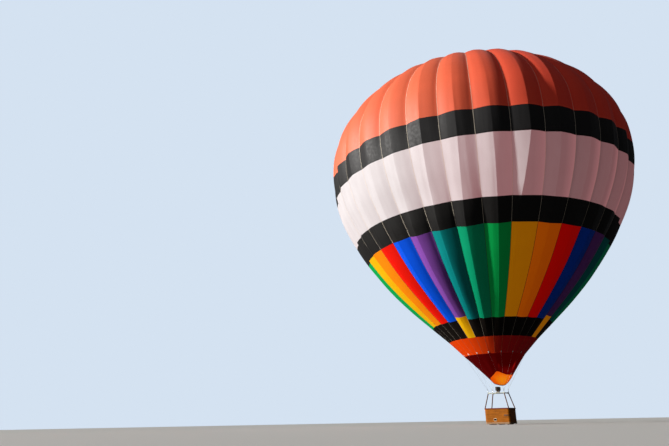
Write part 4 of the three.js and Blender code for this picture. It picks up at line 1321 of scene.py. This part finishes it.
class MESH_OT_balloon_load_frame(BalloonOperator, bpy.types.Operator):
    """Welds the load frame with its eyes, sockets and pivot arms"""
    bl_idname = "mesh.balloon_load_frame"
    bl_label = "Load frame"

    def execute(self, context):
        tube, level = FRAME_TUBE, FRAME_LEVEL
        arm_length, arm_middle, rounding = 0.274, 0.423, 0.006
        boss_start, boss_end, boss_radius, flange_radius, bolt_circle = 0.286, 0.300, 0.026, 0.043, 0.034
        parts = []
        for side in (-1, 1):
            parts.append(block((1.20, tube, tube), (0, side * FRAME_Y, level), rounding, 3))
            parts.append(block((tube, 0.91 - tube, tube), (side * FRAME_X, 0, level), rounding, 3))
            parts.append(block((arm_length, tube, tube), (side * arm_middle, 0, level), rounding, 3))
            parts.append(bar((side * boss_start, 0, level), (side * boss_end, 0, level), boss_radius, 24))
        for _, x, y in CORNERS:
            at = (x * FRAME_X, y * FRAME_Y)
            # The eye on its foot, the gusset in the corner and the flange over the upright
            parts.append(block((0.052, 0.014, 0.032), (*at, level + 0.034)))
            parts.append(ring((*at, level + 0.055), 0.0175, 0.0072, (0, 1, 0), (28, 10)))
            parts.append(block((0.10, 0.006, 0.10), (at[0] - x * 0.055, at[1] - y * 0.030, level), 0.001, 1))
            parts.append(bar((*at, level - 0.022), (*at, level - 0.016), flange_radius, 28))
            for turn in range(4):
                angle = math.radians(45 + 90 * turn)
                bolt = (at[0] + bolt_circle * math.cos(angle), at[1] + bolt_circle * math.sin(angle))
                parts.append(bar((*bolt, level - 0.026), (*bolt, level - 0.021), 0.006, 6))
        piece = set_on_carriage(join("welded_frame", parts))
        smooth(piece)
        settle(piece, "root", "frame_metal", "frame_paint", stands_for=["load_frame"])
        return {"FINISHED"}


def coil(centre, radius, pitch, turns, thickness):
    """A tube wound round a vertical axis: a circle carried round and up by a screw modifier."""
    clear_selection()
    bpy.ops.mesh.primitive_circle_add(vertices=8, radius=thickness, fill_type="NGON",
                                      rotation=(math.radians(90), 0, 0), location=(radius, 0, 0))
    piece = take_placed("coil")
    steps = turns * 28
    edit(piece, lambda: bpy.ops.mesh.delete(type="ONLY_FACE"))
    apply_modifier(piece, "SCREW", axis="Z", angle=2 * math.pi * turns, screw_offset=pitch * turns,
                   steps=steps, render_steps=steps, use_merge_vertices=False, use_smooth_shade=True)
    close_ends(piece)
    piece.data.transform(Matrix.Translation(centre))
    return piece


# Height of the burner's axis, distance between its cans, their bottom and top and their outside radius
BURNER_LEVEL, CAN_SPACING, CAN_BOTTOM, CAN_TOP, CAN_RADIUS = FRAME_LEVEL, 0.30, 2.262, 2.53, 0.128


def valve_parts(side):
    """Steel parts and brass parts of the valve block under one can."""
    level, y, foot = BURNER_LEVEL, side * CAN_SPACING / 2, CAN_BOTTOM - 0.0005
    valve_level, lever_level, stem_x, stem_y = level + 0.052, level + 0.100, -0.085, y - side * 0.020
    steel = [
        bar((0, side * 0.340, level), (0, side * 0.372, level), 0.008, 20),
        lathe([(0, level + 0.024), (0.058, level + 0.024), (0.058, level + 0.060), (0.050, level + 0.066),
               (0.050, level + 0.120), (0.058, level + 0.126), (0.058, foot), (0, foot)], (0, y, 0), 36),
        block((0.060, 0.044, 0.044), (stem_x, y, valve_level), 0.004),
        bar((stem_x, stem_y, level + 0.074), (stem_x, stem_y, level + 0.098), 0.006, 12),
        block((0.115, 0.018, 0.005), (-0.118, stem_y, lever_level))]
    brass = [
        bar((-0.115, y, valve_level), (-0.138, y, valve_level), 0.014, 6),
        bar((0.056, y, level + 0.045), (0.088, y, level + 0.045), 0.012, 16),
        lathe([(0, 0), (0.030, 0), (0.031, 0.010), (0.027, 0.014), (0, 0.014)],
              (0, side * 0.045, level + 0.026), 28)]
    return steel, brass


def can_parts(y, turns):
    """The shell of a can, its coil, and the ring of jets on its floor."""
    wide, bottom, top, floor = CAN_RADIUS, CAN_BOTTOM, CAN_TOP, CAN_BOTTOM + 0.006
    jets, jet_circle, jet_radius = 12, 0.055, 0.005
    outside = [(0, bottom), (wide - 0.030, bottom), (wide - 0.012, bottom + 0.012), (wide, bottom + 0.040),
               (wide, top - 0.004), (wide + 0.002, top)]
    inside = [(wide - 0.003, top), (wide - 0.003, bottom + 0.042), (wide - 0.014, bottom + 0.015),
              (wide - 0.032, floor), (0, floor)]
    parts = [lathe(outside + inside, (0, y, 0), 48),
             coil((0, y, bottom + 0.040), wide - 0.016, 0.022, turns, 0.0085)]
    for number in range(jets):
        angle = 2 * math.pi * number / jets
        x, jet_y = jet_circle * math.cos(angle), y + jet_circle * math.sin(angle)
        parts.append(bar((x, jet_y, floor), (x, jet_y, bottom + 0.026), jet_radius, 8))
    parts.append(ring((0, y, bottom + 0.018), jet_circle, 0.007, sides=(36, 8)))
    return parts


class MESH_OT_balloon_burner(BalloonOperator, bpy.types.Operator):
    """Builds the twin burner: cans, coils, valve block, blast valve levers and pilot lights"""
    bl_idname = "mesh.balloon_burner"
    bl_label = "Burner"

    def execute(self, context):
        turns = context.scene.balloon_burner.coil_turns
        steel, brass = [block((0.070, 0.688, 0.050), (0, 0, BURNER_LEVEL), 0.006, 3)], []
        for side in (-1, 1):
            more_steel, more_brass = valve_parts(side)
            steel += more_steel
            brass += more_brass
        valve_block = set_on_carriage(join("valve_block", steel))
        smooth(valve_block)
        settle(valve_block, "burner", "burner_steel", "burnt_steel", stands_for=["burner_block"])
        fittings = set_on_carriage(join("burner_fittings", brass))
        smooth(fittings)
        settle(fittings, "burner", "burner_steel", "brass")
        for name, side in (("front", -1), ("back", 1)):
            can = set_on_carriage(join("can_" + name, can_parts(side * CAN_SPACING / 2, turns)))
            smooth(can)
            settle(can, "burner", "burner_steel", "burnt_steel", stands_for=["burner_can_" + name])
        return {"FINISHED"}


class MESH_OT_balloon_gimbal(BalloonOperator, bpy.types.Operator):
    """Makes the gimbal ring between the load frame and the burner"""
    bl_idname = "mesh.balloon_gimbal"
    bl_label = "Gimbal ring"

    def execute(self, context):
        long_side, wide_side, size, level = 0.56, 0.76, 0.030, FRAME_LEVEL
        cross_size = (long_side - 2 * size + 0.002, size, size)
        parts = []
        for side in (-1, 1):
            parts.append(block((size, wide_side, size), (side * (long_side - size) / 2, 0, level), 0.005, 3))
            parts.append(block(cross_size, (0, side * (wide_side - size) / 2, level), 0.004))
            # The pivot pin and its nut: start and end from the ring's side, radius and number of sides
            for start, end, radius, sides in ((-0.004, 0.028, 0.008, 20), (-0.001, 0.004, 0.020, 6)):
                parts.append(bar((side * (long_side / 2 + start), 0, level),
                                 (side * (long_side / 2 + end), 0, level), radius, sides))
        piece = set_on_carriage(join("gimbal_square", parts))
        smooth(piece)
        settle(piece, "gimbal", "gimbal_steel", "forged_steel", stands_for=["gimbal_ring"])
        return {"FINISHED"}


def outline_lengths(inset):
    """Lengths of the straight and the rounded stretches of the basket's outline, from the front's middle."""
    x, y, corner = LENGTH / 2 - inset, WIDTH / 2 - inset, CORNER - inset
    straight_x, straight_y, bend = 2 * (x - corner), 2 * (y - corner), corner * math.pi / 2
    return [straight_x / 2, bend, straight_y, bend, straight_x, bend, straight_y, bend, straight_x / 2]


def outline_length(inset=0.0):
    return sum(outline_lengths(inset))


def outline_point(distance, inset=0.0):
    """Points and outward directions at distances along the basket's outline, from the middle of the front."""
    x, y, corner = LENGTH / 2 - inset, WIDTH / 2 - inset, CORNER - inset
    distance = distance % outline_length(inset)
    marks = np.cumsum([0] + outline_lengths(inset))
    section = np.clip(np.searchsorted(marks, distance, side="right") - 1, 0, 8)
    along = distance - marks[section]
    out = np.zeros((len(distance), 4))
    straights = {0: ((0, -y), (1, 0), (0, -1)), 2: ((x, -y + corner), (0, 1), (1, 0)),
                 4: ((x - corner, y), (-1, 0), (0, 1)), 6: ((-x, y - corner), (0, -1), (-1, 0)),
                 8: ((-x + corner, -y), (1, 0), (0, -1))}
    for number, (start, way, normal) in straights.items():
        chosen = section == number
        for axis in (0, 1):
            out[chosen, axis] = start[axis] + way[axis] * along[chosen]
            out[chosen, 2 + axis] = normal[axis]
    bends = {1: (x - corner, -y + corner, -90), 3: (x - corner, y - corner, 0),
             5: (-x + corner, y - corner, 90), 7: (-x + corner, -y + corner, 180)}
    for number, (cx, cy, start) in bends.items():
        chosen = section == number
        angle = math.radians(start) + along[chosen] / corner
        normals = np.column_stack((np.cos(angle), np.sin(angle)))
        out[chosen] = np.column_stack((np.array((cx, cy)) + corner * normals, normals))
    return out[:, :2], out[:, 2:]


# Step hole: its place and size, and how wide its edging is at its sides and at its top and bottom
STEP_HOLE = {"x": -0.167, "height": 0.320, "width": 0.190, "tall": 0.110, "side_edging": 0.012,
             "edging": 0.034}


def cut_step_holes(skin):
    """Takes out the weave where a foot goes in, left of the middle on the front and on the back."""
    def in_hole(face):
        side = -1 if face.center.y > 0 else 1
        inside_width = abs(face.center.x - side * STEP_HOLE["x"]) < STEP_HOLE["width"] / 2
        inside_height = abs(face.center.z - STEP_HOLE["height"]) < STEP_HOLE["tall"] / 2
        return inside_width and inside_height and abs(face.center.y) > WIDTH / 2 - 0.1

    pick(skin, "FACE", in_hole)
    bpy.ops.mesh.delete(type="FACE")
    bpy.ops.object.mode_set(mode="OBJECT")


def step_hole_edging(side):
    """A leather-bound frame that lines one step hole through the wall."""
    half_width, half_height = STEP_HOLE["width"] / 2, STEP_HOLE["tall"] / 2
    corner, deep = 0.030, WALL / 2 + 0.004

    def surface(around, up):
        turn = 2 * math.pi * around
        x, z = np.cos(turn), np.sin(turn)
        # A large factor sends every direction but the four main ones to a corner of the hole
        box_x = np.clip(x * 1e3, -(half_width - corner), half_width - corner)
        box_z = np.clip(z * 1e3, -(half_height - corner), half_height - corner)
        angle = 2 * math.pi * up
        wide = STEP_HOLE["side_edging"] + (STEP_HOLE["edging"] - STEP_HOLE["side_edging"]) * np.abs(z) ** 0.5
        reach = corner + wide * (0.5 + 0.5 * np.cos(angle))
        depth = deep * np.sign(np.sin(angle)) * np.abs(np.sin(angle)) ** 0.5
        middle = side * (WIDTH / 2 - WALL / 2)
        return np.column_stack((-side * STEP_HOLE["x"] + box_x + x * reach, middle + depth,
                                STEP_HOLE["height"] + box_z + z * reach))

    piece = sheet_piece("edging", 96, 16, surface)
    point_faces_out(piece)
    return piece


class MESH_OT_balloon_step_holes(BalloonOperator, bpy.types.Operator):
    """Binds the step holes with pale leather"""
    bl_idname = "mesh.balloon_step_holes"
    bl_label = "Step hole edging"

    def execute(self, context):
        piece = set_on_carriage(join("step_hole_edging", [step_hole_edging(-1), step_hole_edging(1)]))
        smooth(piece, 60)
        settle(piece, "root", "cover_leather", "pale_hide")
        return {"FINISHED"}


class MESH_OT_balloon_wicker(BalloonOperator, bpy.types.Operator):
    """Weaves the basket's wall round its upright stakes"""
    bl_idname = "mesh.balloon_wicker"
    bl_label = "Wicker wall"

    def execute(self, context):
        settings = context.scene.balloon_basket
        total, tall = outline_length(), WALL_TOP - WALL_BOTTOM
        stakes = 2 * round(total / settings.stake_spacing / 2)
        courses = round(tall / settings.weaver_height)
        in_and_out, half_cane, skin_depth = 0.0045, 0.0035, 0.008

        def skin(name, rows_per_course, hand):
            """One side of the weave; hand is 1 outside and -1 inside."""
            depth = skin_depth if hand > 0 else WALL - skin_depth

            def surface(around, up):
                points, normals = outline_point((around + 0.5) * total)
                course = np.minimum(np.floor(up * courses), courses - 1)
                over = np.cos(math.pi * (around * stakes + course))
                swell = np.sin(math.pi * np.clip(up * courses - course, 0, 1)) ** 0.7
                stand = (in_and_out * over + half_cane * hand) * swell - depth
                return np.column_stack((points + normals * stand[:, None], WALL_BOTTOM + up * tall))

            def weave_map(around, up):
                return around * total, up * tall

            part = sheet_piece(name, stakes * 4, courses * rows_per_course, surface, {"weave": weave_map})
            face_outwards(part)
            return part

        outer = skin("outer_skin", 3, 1)
        inner = skin("inner_skin", 2, -1)
        edit(inner, bpy.ops.mesh.flip_normals)
        for part in (outer, inner):
            cut_step_holes(part)
        piece = join("wicker_wall", [outer, inner])
        pick(piece, "VERT", lambda vertex: abs(vertex.co.z - WALL_TOP) < SAME_POINT)
        bpy.ops.mesh.select_mode(type="EDGE")
        bpy.ops.mesh.bridge_edge_loops()
        bpy.ops.mesh.select_mode(type="VERT")
        bpy.ops.object.mode_set(mode="OBJECT")
        set_on_carriage(piece)
        smooth_all(piece)
        settle(piece, "root", "wicker", "varnished_cane", stands_for=["basket_wall"])
        return {"FINISHED"}


class MESH_OT_balloon_handles(BalloonOperator, bpy.types.Operator):
    """Stitches a leather grab handle round the front right corner and one round the back left corner"""
    bl_idname = "mesh.balloon_handles"
    bl_label = "Grab handles"

    def execute(self, context):
        start, span, level, tall, thickness = 0.52, 0.46, 0.61, 0.062, 0.005
        end_stand, bow = 0.004, 0.030
        pad_width, pad_thickness, half_pad = 0.075, 0.006, Vector((0, 0, 0.045))
        parts = []
        for corner in (start, start + outline_length() / 2):
            def surface(around, up):
                points, normals = outline_point(corner + span * around)
                stand = end_stand + bow * np.sin(math.pi * around) ** 0.6
                return np.column_stack((points + normals * stand[:, None], level + tall * (up - 0.5)))

            strap = sheet_piece("strap", 40, 3, surface)
            face_outwards(strap)
            apply_modifier(strap, "SOLIDIFY", thickness=thickness, offset=0)
            bevel_edges(strap, 0.0015)
            parts.append(strap)
            for end in (corner, corner + span):
                points, normals = outline_point(np.array([end]))
                outward = Vector((*normals[0], 0))
                at = Vector((*points[0], level)) + outward * pad_thickness
                parts.append(strip(at - half_pad, at + half_pad, pad_width, pad_thickness, outward))
        piece = set_on_carriage(join("grab_handles", parts))
        smooth(piece)
        settle(piece, "root", "cover_leather", "dark_leather")
        return {"FINISHED"}


class MESH_OT_balloon_rim(BalloonOperator, bpy.types.Operator):
    """Pads the basket's rim with a leather roll that its lacing pinches"""
    bl_idname = "mesh.balloon_rim"
    bl_label = "Padded rim"

    def execute(self, context):
        radius, flat, middle, girth = 0.045, 0.8, 1.0463, 0.28
        laces, lace_depth, lace_sharpness = 28, 0.045, 14
        total = outline_length(WALL / 2)

        def surface(around, up):
            points, normals = outline_point((around + 0.5) * total, WALL / 2)
            angle = 2 * math.pi * up
            pinch = 1 - lace_depth * np.abs(np.cos(math.pi * around * laces)) ** lace_sharpness
            out = np.cos(angle) * radius * pinch
            rise = np.maximum(np.sin(angle) * radius * pinch, -radius * flat)
            return np.column_stack((points + normals * out[:, None], middle + rise))

        def cloth_map(around, up):
            return around * total, up * girth

        piece = sheet_piece("rim_roll", laces * 14, 20, surface, {"cloth": cloth_map})
        point_faces_out(piece)
        set_on_carriage(piece)
        smooth_all(piece)
        settle(piece, "root", "rim_leather", "red_leather", stands_for=["rim_padding"])
        return {"FINISHED"}


# Upright: height of its foot and of its head, and the outside radius of its cover
UPRIGHT_FOOT, UPRIGHT_HEAD, UPRIGHT_RADIUS = 1.0894, 2.0797, 0.038


def leather_cover(foot, head, outward, number):
    """A wrinkled tube of leather with a seam that faces outwards and one that faces inwards."""
    def surface(around, up):
        angle = 2 * math.pi * around + outward
        centre = foot + (head - foot) * up[:, None]
        broad = 0.0016 * np.sin(up * 70 + 3 * np.sin(angle + number))
        wrinkle = broad + 0.0010 * np.sin(up * 173 + 2 * angle)
        seam_width, seam_depth = 0.02, 0.0035
        from_outer, from_inner = np.minimum(around, 1 - around), around - 0.5
        seams = np.exp(-(from_inner / seam_width) ** 2) + np.exp(-(from_outer / seam_width) ** 2)
        reach = (UPRIGHT_RADIUS - 0.0022 + wrinkle - seam_depth * seams)[:, None]
        across = centre + reach * np.column_stack((np.cos(angle), np.sin(angle)))
        return np.column_stack((across, UPRIGHT_FOOT + (UPRIGHT_HEAD - UPRIGHT_FOOT) * up))

    cover = sheet_piece("cover", 36, 110, surface)
    close_ends(cover)
    return cover


def cover_lacing(foot, head, outward):
    """Crossed laces down the outer seam of a cover."""
    laces, half_width, half_height, cord = 22, 0.010, 0.009, 0.0022
    away = np.array((math.cos(outward), math.sin(outward)))
    side = np.array((-math.sin(outward), math.cos(outward)))
    parts = []
    for lace in range(laces):
        up = (lace + 0.7) / (laces + 0.4)
        level = UPRIGHT_FOOT + (UPRIGHT_HEAD - UPRIGHT_FOOT) * up
        front = foot + (head - foot) * up + away * (UPRIGHT_RADIUS - 0.002)
        left, right = front - side * half_width, front + side * half_width
        parts.append(bar((*left, level - half_height), (*right, level + half_height), cord, 6))
        parts.append(bar((*right, level - half_height), (*left, level + half_height), cord, 6))
    return parts


class MESH_OT_balloon_uprights(BalloonOperator, bpy.types.Operator):
    """Makes the four uprights in their laced leather covers"""
    bl_idname = "mesh.balloon_uprights"
    bl_label = "Uprights"

    def execute(self, context):
        foot_x, foot_y, seam_x, seam_y = 0.8404, 0.6404, 0.84, 0.64
        for number, (name, x, y) in enumerate(CORNERS):
            foot, head = np.array((x * foot_x, y * foot_y)), np.array((x * FRAME_X, y * FRAME_Y))
            outward = math.atan2(y * seam_y, x * seam_x)
            cover = leather_cover(foot, head, outward, number)
            lacing = cover_lacing(foot, head, outward)
            cover = join("leather_cover_" + name, [set_on_carriage(cover)])
            smooth(cover, 60)
            settle(cover, "root", "cover_leather", "brown_leather", stands_for=["upright_" + name])
            lacing = set_on_carriage(join("lacing_" + name, lacing))
            smooth(lacing)
            settle(lacing, "root", "cover_leather", "rope")
        return {"FINISHED"}


class MESH_OT_balloon_floor(BalloonOperator, bpy.types.Operator):
    """Finishes the plywood floor and its skids in oiled timber, and adds the hide that guards the wall's foot
    """
    bl_idname = "mesh.balloon_floor"
    bl_label = "Floor and skids"

    def execute(self, context):
        total = outline_length()
        bottom, tall, waves, wave_depth = 0.0453, 0.105, 8, 0.0012

        def surface(around, up):
            points, normals = outline_point((around + 0.5) * total)
            wave = wave_depth * np.sin(2 * math.pi * waves * around) * up
            stand = np.where(up > 0.5, 0.0025, 0.0015) + wave
            return np.column_stack((points + normals * stand[:, None], bottom + tall * up))

        guard = sheet_piece("hide_guard", 420, 6, surface)
        face_outwards(guard)
        apply_modifier(guard, "SOLIDIFY", thickness=0.003, offset=0)
        set_on_carriage(guard)
        smooth_all(guard)
        settle(guard, "root", "cover_leather", "raw_hide")
        for name in ("skid_left", "skid_middle", "skid_right", "basket_floor"):
            refinish(name, "oiled_timber")
        return {"FINISHED"}


class MESH_OT_balloon_cylinders(BalloonOperator, bpy.types.Operator):
    """Turns the four fuel cylinders with their collars, valves and padded jackets"""
    bl_idname = "mesh.balloon_cylinders"
    bl_label = "Fuel cylinders"

    def execute(self, context):
        bottom, tall, place_x, place_y = WALL_BOTTOM, 0.82, 0.64, 0.44
        top = bottom + tall
        for name, x, y in CORNERS:
            place = (x * place_x, y * place_y, 0)
            body = lathe([(0, bottom + 0.004), (0.118, bottom), (0.124, bottom + 0.030),
                          (0.140, bottom + 0.040), (0.147, bottom + 0.070), (0.147, top - 0.075),
                          (0.136, top - 0.045), (0.108, top - 0.016), (0.060, top - 0.002), (0, top)],
                         place, 40)
            collar = lathe([(0.092, top - 0.012), (0.095, top - 0.012), (0.095, top + 0.052),
                            (0.092, top + 0.052), (0.092, top - 0.012)], place, 32)
            valve = lathe([(0, top - 0.004), (0.022, top - 0.004), (0.022, top + 0.018), (0.014, top + 0.022),
                           (0.014, top + 0.034), (0.032, top + 0.036), (0.032, top + 0.050),
                           (0, top + 0.052)], place, 20)
            metal = set_on_carriage(join("cylinder_" + name, [body, collar, valve]))
            smooth(metal)
            settle(metal, "root", "cylinder_aluminium", "cylinder_metal",
                   stands_for=["fuel_cylinder_" + name])
            jacket = lathe([(0.1475, bottom + 0.060), (0.1495, bottom + 0.064), (0.1495, top - 0.130),
                            (0.1475, top - 0.126), (0.1475, bottom + 0.060)], place, 40)
            jacket = set_on_carriage(join("jacket_" + name, [jacket]))
            smooth(jacket)
            settle(jacket, "root", "cover_leather", "cylinder_jacket")
        return {"FINISHED"}


class MESH_OT_balloon_crown_tapes(BalloonOperator, bpy.types.Operator):
    """Finishes the tapes that cross the vent and meet at the crown ring"""
    bl_idname = "mesh.balloon_crown_tapes"
    bl_label = "Crown tapes"

    def execute(self, context):
        refinish("vent_tapes", "woven_tape")
        return {"FINISHED"}


class SCENE_OT_balloon_stage(BalloonOperator, bpy.types.Operator):
    """Sets the pale floor, the low key light, the wide fill light, the light from all round and the camera"""
    bl_idname = "scene.balloon_stage"
    bl_label = "Stage, lights and camera"

    def execute(self, context):
        settings = context.scene.balloon_stage
        clear_selection()
        bpy.ops.mesh.primitive_circle_add(vertices=96, radius=420, fill_type="NGON",
                                          location=(0, 0, SKID_BASE - 0.001))
        floor = take("stage_floor")
        tree, shader = new_material("stage_floor")
        seen = node(tree, "LightPath").outputs["Is Camera Ray"]
        # The floor throws back less light onto the object than it shows to the camera
        tint = between(tree, seen, (0.07, 0.07, 0.07, 1), settings.floor)
        feed(tree, shader, Base_Color=tint, Roughness=0.9)
        floor.data.materials.append(bpy.data.materials["stage_floor"])
        # Each light's name, direction to it, strength, angle that it covers and colour
        lights = (("key_light", (-0.8965, -0.3532, 0.267), settings.key_strength, settings.key_softness,
                   (1.0, 0.975, 0.94)),
                  ("fill_light", (-0.80, -0.57, 0.20), settings.fill_strength, math.radians(80),
                   (1.0, 0.98, 0.98)))
        for name, towards, energy, angle, tint in lights:
            clear_selection()
            bpy.ops.object.light_add(type="SUN", rotation=Vector(towards).to_track_quat("Z", "Y").to_euler())
            light = take(name)
            light.data.energy, light.data.angle, light.data.color = energy, angle, tint
        world = bpy.data.worlds.new("soft_studio")
        world.use_nodes = True
        context.scene.world = world
        tree = world.node_tree
        tree.nodes.clear()
        seen = node(tree, "Background", Color=settings.backdrop, Strength=1.0)
        around = node(tree, "Background", Color=(0.86, 0.90, 1.0, 1), Strength=settings.ambient)
        either = node(tree, "MixShader", Fac=node(tree, "LightPath").outputs["Is Camera Ray"],
                      i1=around.outputs[0], i2=seen.outputs[0])
        node(tree, "OutputWorld", Surface=either.outputs[0])
        context.scene.view_settings.view_transform = "Standard"
        place_camera(context)
        return {"FINISHED"}


def place_camera(context):
    """The photograph's viewing angle: from near the ground, looking up and a little to the left."""
    distance, height = 44.3, 0.3
    pitch, yaw, roll = math.radians(19.0966), math.radians(-14.9204), math.radians(-1.0917)
    focal_pixels, image_width, sensor = 578.017, 669, 36.0
    level = Vector((math.sin(yaw), math.cos(yaw), 0))
    right = Vector((math.cos(yaw), -math.sin(yaw), 0))
    forward = level * math.cos(pitch) + Vector((0, 0, math.sin(pitch)))
    up = right.cross(forward)
    turned_right = right * math.cos(roll) + up * math.sin(roll)
    turned_up = up * math.cos(roll) - right * math.sin(roll)
    clear_selection()
    bpy.ops.object.camera_add(location=(0, -distance, SKID_BASE + height))
    camera = take("camera")
    camera.rotation_euler = Matrix((turned_right, turned_up, -forward)).transposed().to_euler()
    camera.data.sensor_width = sensor
    camera.data.lens = focal_pixels / image_width * sensor
    camera.data.clip_start, camera.data.clip_end = 0.1, 2000
    context.scene.camera = camera


class VIEW3D_PT_balloon(bpy.types.Panel):
    """Lists the balloon's pieces in the sidebar"""
    bl_label = "Hot Air Balloon"
    bl_idname = "VIEW3D_PT_balloon"
    bl_space_type = "VIEW_3D"
    bl_region_type = "UI"
    bl_category = "Balloon"

    def draw(self, context):
        layout = self.layout
        for operator in OPERATORS:
            layout.operator(operator.bl_idname)
        for name, _ in SETTINGS:
            settings = getattr(context.scene, name)
            box = layout.box()
            for key in settings.__annotations__:
                box.prop(settings, key)


OPERATORS = (
    MESH_OT_balloon_materials, MESH_OT_balloon_envelope, MESH_OT_balloon_load_tapes, MESH_OT_balloon_valve,
    MESH_OT_balloon_crown_tapes, MESH_OT_balloon_scoop, MESH_OT_balloon_wires, MESH_OT_balloon_karabiners,
    MESH_OT_balloon_load_frame, MESH_OT_balloon_gimbal, MESH_OT_balloon_burner, MESH_OT_balloon_wicker,
    MESH_OT_balloon_step_holes, MESH_OT_balloon_handles, MESH_OT_balloon_rim, MESH_OT_balloon_uprights,
    MESH_OT_balloon_floor, MESH_OT_balloon_cylinders, SCENE_OT_balloon_stage,
)
SETTINGS = (
    ("balloon_envelope", BalloonEnvelopeSettings), ("balloon_basket", BalloonBasketSettings),
    ("balloon_burner", BalloonBurnerSettings), ("balloon_stage", BalloonStageSettings),
)


def register():
    for name, group in SETTINGS:
        bpy.utils.register_class(group)
        setattr(bpy.types.Scene, name, bpy.props.PointerProperty(type=group))
    for operator in OPERATORS:
        bpy.utils.register_class(operator)
    bpy.utils.register_class(VIEW3D_PT_balloon)


def unregister():
    bpy.utils.unregister_class(VIEW3D_PT_balloon)
    for operator in reversed(OPERATORS):
        bpy.utils.unregister_class(operator)
    for name, group in reversed(SETTINGS):
        delattr(bpy.types.Scene, name)
        bpy.utils.unregister_class(group)


def main():
    register()
    for operator in OPERATORS:
        area, name = operator.bl_idname.split(".")
        getattr(getattr(bpy.ops, area), name)()


if __name__ == "__main__":
    main()
